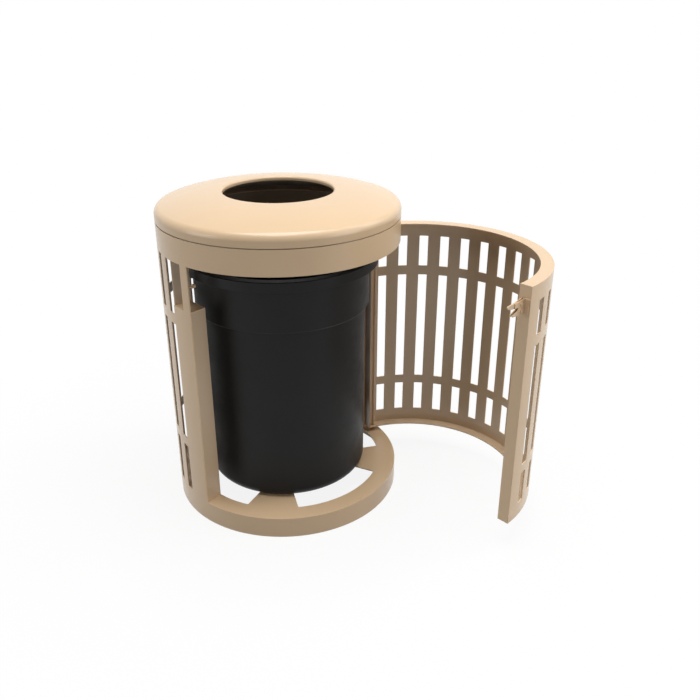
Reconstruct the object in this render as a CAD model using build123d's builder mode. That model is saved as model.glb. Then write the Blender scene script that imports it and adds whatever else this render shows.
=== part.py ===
from build123d import *
import os
from math import asin, cos, degrees, radians, sin, sqrt, tan

os.makedirs("parts", exist_ok=True)

# Millimetres. The receptacle stands on the floor at z = 0, its axis is Z and the
# middle of its doorway faces -Y. Angles are azimuths in degrees, counted from +X
# towards +Y. The door is drawn where it stands open, which is its place at rest.

# Shell
shell_radius = 330.0
wall = 3.0
base_height = 61.1
band_top = 828.2
band_width = 67.1
doorway_middle = -90.0
doorway_half_angle = 82.85

# Base plate: each opening is a wedge that would come to a point beyond the axis
ring_width = 50.8
hub_radius = 139.0
spoke_count = 4
spoke_turn = -3.3
opening_half_angle = 30.1
opening_apex = 57.0
opening_corner = 3.0

# Door
door_gap_side = 13.2
door_gap_below = 12.4
door_gap_above = 9.1
door_rail_width = 33.6
door_open_angle = 82.13

# Slots in the wall and the door, in three rows. The lower row is set out from the base,
# the upper row from the band, and the middle row fills what lies between the bridges.
slot_width = 25.9
slot_pitch = 62.8
door_slot_margin = 40.0
door_slot_shift = 2.4
wall_slot_floor = 3.9
lower_row_lift = 56.3
lower_row_height = 94.4
lower_row_bridge = 27.9
upper_row_bridge = 29.0
upper_row_height = 93.5
upper_row_drop = 54.6

# Posts beside the doorway
post_depth = 51.0
post_width = 75.0
latch_post_drop = 122.1
window_strip = 27.6

# Hinge: the rod stands in from the rail's inner edge and from the door's upright edge
rod_diameter = 9.5
hinge_edge = 12.8
hinge_inset = 21.0
rod_running_fit = 0.05
rod_chamfer = 0.8
rod_nut_sides = 6
rod_nut_width = 15.0
rod_nut_height = 7.0
bush_wall = 2.0
bush_flange_width = 4.0
bush_flange_height = 1.5
seat_gap = 0.3

# Lid
seam_gap = 3.0
seat_ring_width = 57.0
hoop_height = 12.0
hoop_clearance = 0.8
lid_side = 14.9
lid_shoulder_radius = 21.7
lid_slope = 17.8
crown_radius = 577.0
hole_radius = 148.4
hole_lip_radius = 6.0
hole_lip_drop = 5.0
lid_tab_width = 25.0
lid_tab_reach = 8.0
lid_tab_count = 3
lid_tab_turn = 97.0

# Liner, sized inwards from the posts that it stands between
liner_wall = 4.0
liner_side_gap = 8.4
liner_head_room = 35.8
liner_rim_width = 26.1
liner_collar_step = 9.9
liner_collar_height = 150.5
liner_taper = 2.6
liner_rim_drop = 27.0
liner_foot_round = 27.0
liner_bend = 5.0
liner_step_round = 3.0

# Striker beside the finger window
striker_drop = 63.1
striker_edge = 7.4
striker_diameter = 5.5
striker_length = 24.0
striker_head_diameter = 10.8
striker_head_length = 10.0
striker_head_round = 3.0

# Latch on the door's free edge. A cover is how far a part reaches past the striker.
latch_sheet = 2.0
latch_leg_width = 14.0
latch_fold = 3.5
latch_rise = 2.0
latch_top = 19.0
latch_bottom = 20.0
jaw_cover = 7.6
jaw_front_top = 13.0
lower_jaw_cover = 14.6
lower_jaw_round = 1.5
lower_jaw_drop = 13.0
lower_jaw_depth = 17.6
notch_room = 7.4
notch_top = 1.6
notch_bottom = 4.4
notch_round = 2.2
hook_thickness = 3.2
hook_side_gap = 0.3
hook_pivot_out = 12.0
hook_pivot_up = 6.0
hook_boss_radius = 7.0
hook_drop_angle = 20.0
hook_clearance = 0.65
hook_cover = 33.1
hook_tip_radius = 4.2
hook_tip_up = 9.8
hook_waist_top = 15.0
hook_tooth_cover = 15.6
hook_tooth_up = 1.8
rivet_diameter = 6.0
rivet_head_diameter = 9.0
rivet_head_height = 1.5
lower_rivet_out = 11.0
lower_rivet_up = -11.5
washer_diameter = 12.0
washer_thickness = 0.8
washer_gap = 0.1

cut_overrun = 5.0

# Worked out from the sizes above
inner_radius = shell_radius - wall
band_bottom = band_top - band_width
doorway_start = doorway_middle - doorway_half_angle
doorway_stop = doorway_middle + doorway_half_angle
door_half_angle = doorway_half_angle - degrees(door_gap_side / shell_radius)
door_start = doorway_middle - door_half_angle
door_stop = doorway_middle + door_half_angle
door_bottom = base_height + door_gap_below
door_top = band_bottom - door_gap_above
door_rail_inner = shell_radius - door_rail_width
ring_inner = shell_radius - ring_width
wall_span = 360.0 - 2.0 * doorway_half_angle
wall_arc = radians(wall_span) * shell_radius
door_arc = radians(2.0 * door_half_angle) * shell_radius
post_inner = shell_radius - post_depth
post_top = band_bottom - latch_post_drop
post_angle = degrees(post_width / shell_radius)
slot_pitch_angle = degrees(slot_pitch / shell_radius)
wall_columns = 1 + int((wall_arc - 2 * post_width - slot_width) / slot_pitch)
door_columns = 1 + int((door_arc - 2 * door_slot_margin - slot_width) / slot_pitch)
lower_row_bottom = base_height + lower_row_lift
lower_row_top = lower_row_bottom + lower_row_height
upper_row_top = band_bottom - upper_row_drop
upper_row_bottom = upper_row_top - upper_row_height
middle_row_bottom = lower_row_top + lower_row_bridge
middle_row_top = upper_row_bottom - upper_row_bridge
hinge_radius = door_rail_inner + hinge_edge
hinge_angle = door_stop - degrees(hinge_inset / hinge_radius)
lid_bottom = band_top + seam_gap
liner_bottom = base_height + seat_gap
liner_top = band_bottom - liner_head_room
liner_rim_radius = post_inner - liner_side_gap
liner_collar_radius = liner_rim_radius - liner_rim_width
liner_body_radius = liner_collar_radius - liner_collar_step
liner_foot_radius = liner_body_radius - liner_taper
liner_step = liner_top - liner_collar_height
striker_height = band_bottom - striker_drop
striker_angle = doorway_start - degrees((window_strip - striker_edge) / shell_radius)
latch_radius = inner_radius - latch_leg_width
latch_height = striker_height + latch_rise
hook_depth = latch_sheet + hook_side_gap
hook_middle_radius = latch_radius - hook_depth - hook_thickness / 2
striker_reach = hook_middle_radius * tan(radians(door_start - striker_angle))
bush_radius = rod_diameter / 2 + rod_running_fit + bush_wall


def polar(radius, angle, centre=(0.0, 0.0)):
    """The point at a radius and an azimuth about a centre."""
    return (centre[0] + radius * cos(radians(angle)), centre[1] + radius * sin(radians(angle)))


hinge_x, hinge_y = polar(hinge_radius, hinge_angle)
door_x, door_y = polar(hinge_radius, hinge_angle + door_open_angle + 180.0, (hinge_x, hinge_y))
door_plane = Plane(
    origin=(door_x, door_y, 0.0),
    x_dir=(cos(radians(door_open_angle)), sin(radians(door_open_angle)), 0.0),
    z_dir=(0.0, 0.0, 1.0),
)


def ring_sector(inner, outer, start, stop):
    """A flat piece of a ring between two azimuths."""
    with BuildSketch(mode=Mode.PRIVATE) as sector:
        with BuildLine():
            CenterArc((0.0, 0.0), outer, start, stop - start)
            CenterArc((0.0, 0.0), inner, start, stop - start)
            Line(polar(inner, start), polar(outer, start))
            Line(polar(inner, stop), polar(outer, stop))
        make_face()
    return sector.sketch


def radial_strip(inner, outer, angle, side):
    """The plan of a flat plate that stands along a radius, to one side of it."""
    side_align = Align.MIN if side > 0 else Align.MAX
    with BuildSketch(mode=Mode.PRIVATE) as strip:
        with PolarLocations(inner, 1, angle):
            Rectangle(outer - inner + cut_overrun, wall, align=(Align.MIN, side_align))
        Circle(outer, mode=Mode.INTERSECT)
    return strip.sketch


def slot_plan(columns, middle):
    """The plan of a row of slots, spread evenly about an azimuth."""
    spread = (columns - 1) * slot_pitch_angle
    with BuildSketch(mode=Mode.PRIVATE) as row:
        with PolarLocations(shell_radius, columns, middle - spread / 2, spread, endpoint=True):
            Rectangle(2 * (wall + cut_overrun), slot_width)
    return row.sketch


def base_opening():
    """One of the four openings between the spokes of the base plate."""
    edge_x, edge_y = polar(ring_inner, opening_half_angle)
    far_half = edge_y * (shell_radius + opening_apex) / (edge_x + opening_apex)
    with BuildSketch(mode=Mode.PRIVATE) as opening:
        Circle(ring_inner)
        Circle(hub_radius, mode=Mode.SUBTRACT)
        with BuildLine():
            Polyline(
                (-opening_apex, 0.0),
                (shell_radius, -far_half),
                (shell_radius, far_half),
                close=True,
            )
        make_face(mode=Mode.INTERSECT)
        fillet(opening.vertices(), opening_corner)
    return opening.sketch


# Skirt round the foot
with BuildPart() as base_skirt:
    with BuildSketch(Plane.XY):
        Circle(shell_radius)
        Circle(inner_radius, mode=Mode.SUBTRACT)
    extrude(amount=base_height - wall)
base_skirt.part.label = "base_skirt"
export_step(base_skirt.part, "parts/base_skirt.step")

# Base plate: a ring, and a hub and spokes that the liner stands on
with BuildPart() as base_ring:
    with BuildSketch(Plane.XY.offset(base_height - wall)):
        Circle(shell_radius)
        Circle(ring_inner, mode=Mode.SUBTRACT)
        with Locations((hinge_x, hinge_y)):
            Circle(rod_diameter / 2 + rod_running_fit, mode=Mode.SUBTRACT)
    extrude(amount=wall)
base_ring.part.label = "base_ring"
export_step(base_ring.part, "parts/base_ring.step")

with BuildPart() as base_hub:
    with BuildSketch(Plane.XY.offset(base_height - wall)):
        Circle(hub_radius)
    extrude(amount=wall)
base_hub.part.label = "base_hub"
export_step(base_hub.part, "parts/base_hub.step")

with BuildPart() as base_spokes:
    with BuildSketch(Plane.XY.offset(base_height - wall)):
        Circle(ring_inner)
        Circle(hub_radius, mode=Mode.SUBTRACT)
        with PolarLocations(0.0, spoke_count, spoke_turn):
            add(base_opening(), mode=Mode.SUBTRACT)
    extrude(amount=wall)
base_spokes.part.label = "base_spokes"
export_step(base_spokes.part, "parts/base_spokes.step")

# Fixed wall with its slots and the finger window above the latch post
wall_middle_angle = doorway_middle + 180.0
wall_start = doorway_stop
wall_stop = wall_start + wall_span
window_start = wall_stop - post_angle
window_stop = wall_stop - degrees(window_strip / shell_radius)
with BuildPart() as shell_wall:
    with BuildSketch(Plane.XY.offset(base_height)):
        add(ring_sector(inner_radius, shell_radius, wall_start, wall_stop))
    extrude(amount=band_bottom - base_height)
    for row_bottom, row_top in (
        (base_height + wall_slot_floor, lower_row_top),
        (middle_row_bottom, middle_row_top),
        (upper_row_bottom, band_bottom + cut_overrun),
    ):
        with BuildSketch(Plane.XY.offset(row_bottom)):
            add(slot_plan(wall_columns, wall_middle_angle))
        extrude(amount=row_top - row_bottom, mode=Mode.SUBTRACT)
    with BuildSketch(Plane.XY.offset(post_top)):
        add(ring_sector(inner_radius - cut_overrun, shell_radius + cut_overrun,
                        window_start - degrees(wall / shell_radius), window_stop))
    extrude(amount=band_bottom + cut_overrun - post_top, mode=Mode.SUBTRACT)
shell_wall.part.label = "shell_wall"
export_step(shell_wall.part, "parts/shell_wall.step")

# Band round the top
with BuildPart() as top_band:
    with BuildSketch(Plane.XY.offset(band_bottom)):
        Circle(shell_radius)
        Circle(inner_radius, mode=Mode.SUBTRACT)
    extrude(amount=band_top - band_bottom)
top_band.part.label = "top_band"
export_step(top_band.part, "parts/top_band.step")

# Ring inside the band's top edge that carries the lid and the top of the hinge rod
with BuildPart() as lid_seat_ring:
    with BuildSketch(Plane.XY.offset(band_top - wall)):
        Circle(inner_radius)
        Circle(inner_radius - seat_ring_width, mode=Mode.SUBTRACT)
        with Locations((hinge_x, hinge_y)):
            Circle(rod_diameter / 2 + rod_running_fit, mode=Mode.SUBTRACT)
    extrude(amount=wall)
lid_seat_ring.part.label = "lid_seat_ring"
export_step(lid_seat_ring.part, "parts/lid_seat_ring.step")

# Hoop on that ring, which the lid fits over and rests on
hoop_outer = inner_radius - hoop_clearance
hoop_top = band_top + hoop_height
with BuildPart() as lid_hoop:
    with BuildSketch(Plane.XY.offset(band_top)):
        Circle(hoop_outer)
        Circle(hoop_outer - wall, mode=Mode.SUBTRACT)
    extrude(amount=hoop_height)
lid_hoop.part.label = "lid_hoop"
export_step(lid_hoop.part, "parts/lid_hoop.step")

# Folded posts: a face along the radius and a wall behind it, closed by a back plate
post_fold_angle = degrees(wall / post_inner)
with BuildPart() as latch_post:
    with BuildSketch(Plane.XY.offset(base_height)):
        add(radial_strip(post_inner, inner_radius, wall_stop, -1))
        add(ring_sector(post_inner, post_inner + wall,
                        wall_stop - post_angle, wall_stop - post_fold_angle / 2))
    extrude(amount=post_top - wall - base_height)
latch_post.part.label = "latch_post"
export_step(latch_post.part, "parts/latch_post.step")

with BuildPart() as latch_post_cap:
    with BuildSketch(Plane.XY.offset(post_top - wall)):
        add(ring_sector(post_inner, inner_radius, wall_stop - post_angle, wall_stop))
    extrude(amount=wall)
latch_post_cap.part.label = "latch_post_cap"
export_step(latch_post_cap.part, "parts/latch_post_cap.step")

with BuildPart() as latch_back_plate:
    with BuildSketch(Plane.XY.offset(base_height)):
        add(radial_strip(post_inner, inner_radius, wall_stop - post_angle, -1))
    extrude(amount=band_bottom - base_height)
latch_back_plate.part.label = "latch_back_plate"
export_step(latch_back_plate.part, "parts/latch_back_plate.step")

with BuildPart() as hinge_post:
    with BuildSketch(Plane.XY.offset(base_height)):
        add(radial_strip(post_inner, inner_radius, wall_start, 1))
        add(ring_sector(post_inner, post_inner + wall,
                        wall_start + post_fold_angle / 2, wall_start + post_angle))
    extrude(amount=band_bottom - base_height)
hinge_post.part.label = "hinge_post"
export_step(hinge_post.part, "parts/hinge_post.step")

with BuildPart() as hinge_back_plate:
    with BuildSketch(Plane.XY.offset(base_height)):
        add(radial_strip(post_inner, inner_radius, wall_start + post_angle, 1))
    extrude(amount=band_bottom - base_height)
hinge_back_plate.part.label = "hinge_back_plate"
export_step(hinge_back_plate.part, "parts/hinge_back_plate.step")


def edge_plane(radius, angle, height):
    """A plane square to a radius: X runs clockwise round the shell, Y up, Z inwards."""
    return Plane(
        origin=(*polar(radius, angle), height),
        x_dir=(sin(radians(angle)), -cos(radians(angle)), 0.0),
        z_dir=(-cos(radians(angle)), -sin(radians(angle)), 0.0),
    )


# Striker pin, welded to the inside of the wall's front strip
striker_foot = sqrt(inner_radius**2 - (striker_diameter / 2) ** 2)
with BuildPart() as striker_pin:
    with BuildSketch(edge_plane(striker_foot, striker_angle, striker_height)):
        Circle(striker_diameter / 2)
    extrude(amount=striker_length)
    with BuildSketch(edge_plane(striker_foot - striker_length, striker_angle, striker_height)):
        Circle(striker_head_diameter / 2)
    extrude(amount=striker_head_length)
    head_end = striker_pin.faces().sort_by_distance((0.0, 0.0, striker_height))[0]
    fillet(head_end.edges(), striker_head_round)
striker_pin.part.label = "striker_pin"
export_step(striker_pin.part, "parts/striker_pin.step")


# Hinge rod, with a nut at each end
rod_bottom = base_height - wall - rod_nut_height - seat_gap
rod_top = band_top + rod_nut_height + seat_gap
with BuildPart() as hinge_rod:
    with BuildSketch(Plane.XY.offset(rod_bottom)):
        with Locations((hinge_x, hinge_y)):
            Circle(rod_diameter / 2)
    extrude(amount=rod_top - rod_bottom)
    chamfer(hinge_rod.edges().filter_by(GeomType.CIRCLE), rod_chamfer)
hinge_rod.part.label = "hinge_rod"
export_step(hinge_rod.part, "parts/hinge_rod.step")

with BuildPart() as hinge_rod_nuts:
    for nut_bottom in (base_height - wall - rod_nut_height, band_top):
        with BuildSketch(Plane.XY.offset(nut_bottom)):
            with Locations((hinge_x, hinge_y)):
                RegularPolygon(rod_nut_width / 2, rod_nut_sides, major_radius=False)
                Circle(rod_diameter / 2, mode=Mode.SUBTRACT)
        extrude(amount=rod_nut_height)
hinge_rod_nuts.part.label = "hinge_rod_nuts"
export_step(hinge_rod_nuts.part, "parts/hinge_rod_nuts.step")

# Sleeve on the rod that holds the door up off the base
sleeve_top = door_bottom - bush_flange_height - seat_gap
with BuildPart() as hinge_sleeve:
    with BuildSketch(Plane.XY.offset(base_height)):
        with Locations((hinge_x, hinge_y)):
            Circle(bush_radius + bush_flange_width / 2)
            Circle(rod_diameter / 2 + rod_running_fit, mode=Mode.SUBTRACT)
    extrude(amount=sleeve_top - base_height)
hinge_sleeve.part.label = "hinge_sleeve"
export_step(hinge_sleeve.part, "parts/hinge_sleeve.step")

# Door skin
with BuildPart() as door_panel:
    with BuildSketch(door_plane.offset(door_bottom)):
        add(ring_sector(inner_radius, shell_radius, door_start, door_stop))
    extrude(amount=door_top - door_bottom)
    for row_bottom, row_top in (
        (lower_row_bottom, lower_row_top),
        (middle_row_bottom, middle_row_top),
        (upper_row_bottom, upper_row_top),
    ):
        with BuildSketch(door_plane.offset(row_bottom)):
            add(slot_plan(door_columns, doorway_middle + degrees(door_slot_shift / shell_radius)))
        extrude(amount=row_top - row_bottom, mode=Mode.SUBTRACT)
door_panel.part.label = "door_panel"
export_step(door_panel.part, "parts/door_panel.step")

# Stiles at the door's two upright edges
with BuildPart() as door_latch_stile:
    with BuildSketch(door_plane.offset(door_bottom)):
        add(radial_strip(door_rail_inner, inner_radius, door_start, 1))
    extrude(amount=door_top - door_bottom)
door_latch_stile.part.label = "door_latch_stile"
export_step(door_latch_stile.part, "parts/door_latch_stile.step")

with BuildPart() as door_hinge_stile:
    with BuildSketch(door_plane.offset(door_bottom)):
        add(radial_strip(door_rail_inner, inner_radius, door_stop, -1))
    extrude(amount=door_top - door_bottom)
door_hinge_stile.part.label = "door_hinge_stile"
export_step(door_hinge_stile.part, "parts/door_hinge_stile.step")

# Rails along the door's bottom and top, between the stiles
stile_angle = degrees(wall / door_rail_inner)
for rail_name, rail_bottom in (("door_bottom_rail", door_bottom), ("door_top_rail", door_top - wall)):
    with BuildPart() as door_rail:
        with BuildSketch(door_plane.offset(rail_bottom)):
            add(ring_sector(door_rail_inner, inner_radius,
                            door_start + stile_angle, door_stop - stile_angle))
            with Locations((hinge_x, hinge_y)):
                Circle(bush_radius, mode=Mode.SUBTRACT)
        extrude(amount=wall)
    door_rail.part.label = rail_name
    export_step(door_rail.part, f"parts/{rail_name}.step")

# Flanged bushes in the rails, each with its flange on the rail's outer side
for bush_name, flange_bottom, body_bottom in (
    ("door_bottom_bush", door_bottom - bush_flange_height, door_bottom),
    ("door_top_bush", door_top, door_top - wall),
):
    with BuildPart() as door_bush:
        with BuildSketch(door_plane.offset(body_bottom)):
            with Locations((hinge_x, hinge_y)):
                Circle(bush_radius)
        extrude(amount=wall)
        with BuildSketch(door_plane.offset(flange_bottom)):
            with Locations((hinge_x, hinge_y)):
                Circle(bush_radius + bush_flange_width)
        extrude(amount=bush_flange_height)
        with BuildSketch(door_plane.offset(min(flange_bottom, body_bottom))):
            with Locations((hinge_x, hinge_y)):
                Circle(rod_diameter / 2 + rod_running_fit)
        extrude(amount=wall + bush_flange_height, mode=Mode.SUBTRACT)
    door_bush.part.label = bush_name
    export_step(door_bush.part, f"parts/{bush_name}.step")

# Latch on the free edge. In its planes X runs out from the stile, Y up from the
# middle of the latch, and Z inwards from the outer sheet.
edge_foot = polar(latch_radius, door_start + door_open_angle, (door_x, door_y))
edge_turn = radians(door_start + door_open_angle)
latch_plane = Plane(
    origin=(*edge_foot, latch_height),
    x_dir=(sin(edge_turn), -cos(edge_turn), 0.0),
    z_dir=(-cos(edge_turn), -sin(edge_turn), 0.0),
)


def jaw_plan():
    """The outline of a latch sheet, with its notch for the striker."""
    notch_end = striker_reach - notch_room
    jaw_front = striker_reach + jaw_cover
    lower_jaw_reach = striker_reach + lower_jaw_cover
    with BuildSketch(mode=Mode.PRIVATE) as jaw:
        with BuildLine():
            Polyline(
                (0.0, -latch_bottom),
                (0.0, latch_top),
                (jaw_front - latch_sheet, jaw_front_top),
                (jaw_front, notch_top),
                (notch_end, notch_top),
                (notch_end, -notch_bottom),
                (lower_jaw_reach, -lower_jaw_drop),
                (lower_jaw_reach, -lower_jaw_depth),
                close=True,
            )
        make_face()
        notch_middle = (notch_end, (notch_top - notch_bottom) / 2)
        notch_corners = jaw.vertices().sort_by_distance(notch_middle)[:2]
        fillet(notch_corners, notch_round)
        tip_middle = (lower_jaw_reach, -(lower_jaw_drop + lower_jaw_depth) / 2)
        tip_corners = jaw.vertices().sort_by_distance(tip_middle)[:2]
        fillet(tip_corners, lower_jaw_round)
    return jaw.sketch


rivet_places = ((hook_pivot_out, hook_pivot_up), (lower_rivet_out, lower_rivet_up))
sheet_space = hook_side_gap + hook_thickness + washer_thickness + 2 * washer_gap
fold_plane = Plane(
    origin=latch_plane.from_local_coords((0.0, -latch_bottom, 0.0)),
    x_dir=latch_plane.x_dir,
    z_dir=latch_plane.y_dir,
)
with BuildPart() as latch_bracket:
    with BuildSketch(fold_plane):
        with BuildLine():
            leg = Line((0.0, latch_leg_width), (0.0, latch_fold))
            fold = JernArc(leg @ 1, leg % 1, latch_fold + latch_sheet, 90.0)
            Line(fold @ 1, (striker_reach + lower_jaw_cover, -latch_sheet))
            offset(amount=latch_sheet, side=Side.LEFT)
        make_face()
    extrude(amount=latch_bottom + latch_top)
    with BuildSketch(latch_plane.offset(-latch_leg_width)):
        add(jaw_plan())
        with Locations(*rivet_places):
            Circle(rivet_diameter / 2, mode=Mode.SUBTRACT)
    extrude(amount=latch_leg_width + latch_sheet, mode=Mode.INTERSECT)
latch_bracket.part.label = "latch_bracket"
export_step(latch_bracket.part, "parts/latch_bracket.step")

with BuildPart() as latch_inner_sheet:
    with BuildSketch(latch_plane.offset(latch_sheet + sheet_space)):
        add(jaw_plan())
        with Locations(*rivet_places):
            Circle(rivet_diameter / 2, mode=Mode.SUBTRACT)
    extrude(amount=latch_sheet)
latch_inner_sheet.part.label = "latch_inner_sheet"
export_step(latch_inner_sheet.part, "parts/latch_inner_sheet.step")

latch_pack = 2 * latch_sheet + sheet_space
with BuildPart() as latch_rivets:
    with BuildSketch(latch_plane):
        with Locations(*rivet_places):
            Circle(rivet_diameter / 2)
    extrude(amount=latch_pack)
    for head_plane in (latch_plane.offset(-rivet_head_height), latch_plane.offset(latch_pack)):
        with BuildSketch(head_plane):
            with Locations(*rivet_places):
                Circle(rivet_head_diameter / 2)
        extrude(amount=rivet_head_height)
latch_rivets.part.label = "latch_rivets"
export_step(latch_rivets.part, "parts/latch_rivets.step")

# Sleeve that keeps the sheets apart on the lower rivet
with BuildPart() as latch_spacer:
    with BuildSketch(latch_plane.offset(latch_sheet)):
        with Locations((lower_rivet_out, lower_rivet_up)):
            Circle(rivet_head_diameter / 2)
            Circle(rivet_diameter / 2, mode=Mode.SUBTRACT)
    extrude(amount=sheet_space)
latch_spacer.part.label = "latch_spacer"
export_step(latch_spacer.part, "parts/latch_spacer.step")

# Hook between the sheets, drawn raised as it stands when the door is open. Dropped,
# it closes in front of the striker, which then lies in the hook's nest.
striker_out = striker_reach - hook_pivot_out
striker_up = striker_height - latch_height - hook_pivot_up
drop = radians(hook_drop_angle)
nest_out = hook_pivot_out + striker_out * cos(drop) - striker_up * sin(drop)
nest_up = hook_pivot_up + striker_out * sin(drop) + striker_up * cos(drop)
nest_radius = striker_diameter / 2 + hook_clearance
tip_out = striker_reach + hook_cover - hook_tip_radius
hook_tooth_out = striker_reach + hook_tooth_cover
with BuildPart() as latch_hook:
    with BuildSketch(latch_plane.offset(hook_depth)):
        with BuildLine():
            Polyline(
                (hook_pivot_out, hook_pivot_up + hook_boss_radius),
                (nest_out, hook_waist_top),
                (tip_out, hook_tip_up + hook_tip_radius),
                (tip_out, hook_tip_up - hook_tip_radius),
                (hook_tooth_out, hook_tooth_up),
                (hook_pivot_out, hook_tooth_up),
                close=True,
            )
        make_face()
        with Locations((hook_pivot_out, hook_pivot_up)):
            Circle(hook_boss_radius)
        with Locations((tip_out, hook_tip_up)):
            Circle(hook_tip_radius)
        with Locations((nest_out, nest_up)):
            Circle(nest_radius, mode=Mode.SUBTRACT)
            Rectangle(2 * nest_radius, nest_up - hook_tooth_up + nest_radius,
                      align=(Align.CENTER, Align.MAX), mode=Mode.SUBTRACT)
        with Locations((hook_pivot_out, hook_pivot_up)):
            Circle(rivet_diameter / 2 + rod_running_fit, mode=Mode.SUBTRACT)
    extrude(amount=hook_thickness)
latch_hook.part.label = "latch_hook"
export_step(latch_hook.part, "parts/latch_hook.step")

# Spring washer that holds the hook where it is put
with BuildPart() as latch_washer:
    with BuildSketch(latch_plane.offset(hook_depth + hook_thickness + washer_gap)):
        with Locations((hook_pivot_out, hook_pivot_up)):
            Circle(washer_diameter / 2)
            Circle(rivet_diameter / 2 + rod_running_fit, mode=Mode.SUBTRACT)
    extrude(amount=washer_thickness)
latch_washer.part.label = "latch_washer"
export_step(latch_washer.part, "parts/latch_washer.step")

# Spun lid: an upright side, a round shoulder, a shallow crown and a rolled lip
shoulder_end = shell_radius - lid_shoulder_radius * (1 - sin(radians(lid_slope)))
lip_rise_share = 1 - hole_lip_radius / crown_radius
crown_run = shoulder_end - hole_radius - hole_lip_radius
lip_slope = degrees(asin((sin(radians(lid_slope)) - crown_run / crown_radius) / lip_rise_share))
with BuildPart() as lid_shell:
    with BuildSketch(Plane.XZ):
        with BuildLine():
            side = Line((shell_radius, lid_bottom), (shell_radius, lid_bottom + lid_side))
            shoulder = JernArc(side @ 1, side % 1, lid_shoulder_radius, 90.0 - lid_slope)
            crown = JernArc(shoulder @ 1, shoulder % 1, crown_radius, lid_slope - lip_slope)
            lip = JernArc(crown @ 1, crown % 1, hole_lip_radius, 90.0 + lip_slope)
            Line(lip @ 1, lip @ 1 - (0.0, hole_lip_drop))
            offset(amount=wall, side=Side.LEFT)
        make_face()
    revolve(axis=Axis.Z)
lid_shell.part.label = "lid_shell"
export_step(lid_shell.part, "parts/lid_shell.step")

# Tabs welded inside the lid's side, which rest on the hoop
with BuildPart() as lid_tabs:
    with BuildSketch(Plane.XY.offset(hoop_top + seat_gap)):
        with PolarLocations(inner_radius - lid_tab_reach, lid_tab_count, lid_tab_turn):
            Rectangle(lid_tab_reach + cut_overrun, lid_tab_width, align=(Align.MIN, Align.CENTER))
        Circle(inner_radius, mode=Mode.INTERSECT)
    extrude(amount=wall)
lid_tabs.part.label = "lid_tabs"
export_step(lid_tabs.part, "parts/lid_tabs.step")

# Loose plastic liner, open at the top, with a stepped collar and a turned-down rim
with BuildPart() as liner:
    with BuildSketch(Plane.XZ):
        with BuildLine():
            FilletPolyline(
                (0.0, liner_bottom),
                (liner_foot_radius, liner_bottom),
                (liner_body_radius, liner_step),
                (liner_collar_radius, liner_step + liner_bend),
                (liner_collar_radius, liner_top - liner_wall),
                (liner_rim_radius - liner_wall, liner_top - liner_wall),
                (liner_rim_radius - liner_wall, liner_top - liner_rim_drop),
                radius=(liner_foot_round, liner_step_round, liner_step_round, liner_bend, liner_bend),
            )
            offset(amount=liner_wall, side=Side.LEFT)
        make_face()
    revolve(axis=Axis.Z)
liner.part.label = "liner"
export_step(liner.part, "parts/liner.step")
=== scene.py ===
import math

import bmesh
import bpy
from bpy.props import FloatProperty, FloatVectorProperty, IntProperty, PointerProperty
from mathutils import Matrix, Vector
from mathutils.geometry import tessellate_polygon


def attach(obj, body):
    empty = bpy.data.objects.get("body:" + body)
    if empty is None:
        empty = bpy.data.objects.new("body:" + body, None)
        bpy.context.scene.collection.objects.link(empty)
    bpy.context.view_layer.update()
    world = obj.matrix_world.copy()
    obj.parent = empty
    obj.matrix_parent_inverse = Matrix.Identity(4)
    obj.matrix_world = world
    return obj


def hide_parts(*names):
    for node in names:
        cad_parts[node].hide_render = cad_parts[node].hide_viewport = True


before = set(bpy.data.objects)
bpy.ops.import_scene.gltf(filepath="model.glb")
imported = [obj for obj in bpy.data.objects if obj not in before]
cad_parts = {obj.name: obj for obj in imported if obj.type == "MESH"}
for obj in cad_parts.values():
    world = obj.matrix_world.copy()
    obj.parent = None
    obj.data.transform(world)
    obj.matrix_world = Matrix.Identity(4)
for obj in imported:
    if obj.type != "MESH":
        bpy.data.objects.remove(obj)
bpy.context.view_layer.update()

bl_info = {
    "name": "Outdoor Trash Receptacle",
    "version": (1, 0, 0),
    "blender": (4, 5, 0),
    "location": "View3D > Sidebar > Receptacle",
    "description": "Dresses a slotted steel litter receptacle with a side door, a lid and a liner",
    "category": "Object",
}

# Everything is in metres, with Z up, the shell's axis on Z and the doorway facing -Y.
TURN = 2 * math.pi
WHITE = (1.0, 1.0, 1.0, 1.0)
# Points nearer than this to each other are one, and a point this near to a place lies on it.
SAME = 1e-6
NEAR = 1e-5
# A sharp corner of a line that is moved aside counts as no sharper than this cosine of half its turn.
LEAST_LEAN = 0.35
# Longest steps along a bend, along a short arc at a sheet's edge, and along and up a curved sheet.
BEND_STEP = math.radians(9)
FINE_STEP = math.radians(0.4)
SHEET_STEP = math.radians(2)
SHEET_RISE = 0.08
# Segments round the hinge rod and what fits on it.
ROD_SEGMENTS = 40
# Angle between two faces over which their edge counts as cut and gets a round.
CUT_EDGE = math.radians(40)
# How squarely a face has to look at the axis or down to get the painted shade meant for the inside and the
# lid's underside.
LOOKS_IN = 0.9
LOOKS_DOWN = 0.3


# Sizes and colours


def length(name, default, description):
    """A size in metres that a user may change."""
    return FloatProperty(name=name, default=default, description=description, min=0.0, precision=4,
                         subtype="DISTANCE", unit="LENGTH")


def turn(name, default, description):
    """An angle, given in degrees here and kept in radians."""
    return FloatProperty(name=name, default=math.radians(default), description=description, subtype="ANGLE",
                         unit="ROTATION")


def share(name, default, description):
    """A share of the whole, from none to all."""
    return FloatProperty(name=name, default=default, description=description, min=0.0, max=1.0,
                         subtype="FACTOR")


def power(name, default, description):
    """The power of a lamp in watts."""
    return FloatProperty(name=name, default=default, description=description, min=0.0, subtype="POWER",
                         unit="POWER")


def count(name, default, least, description):
    """A number of things side by side."""
    return IntProperty(name=name, default=default, min=least, description=description)


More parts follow.
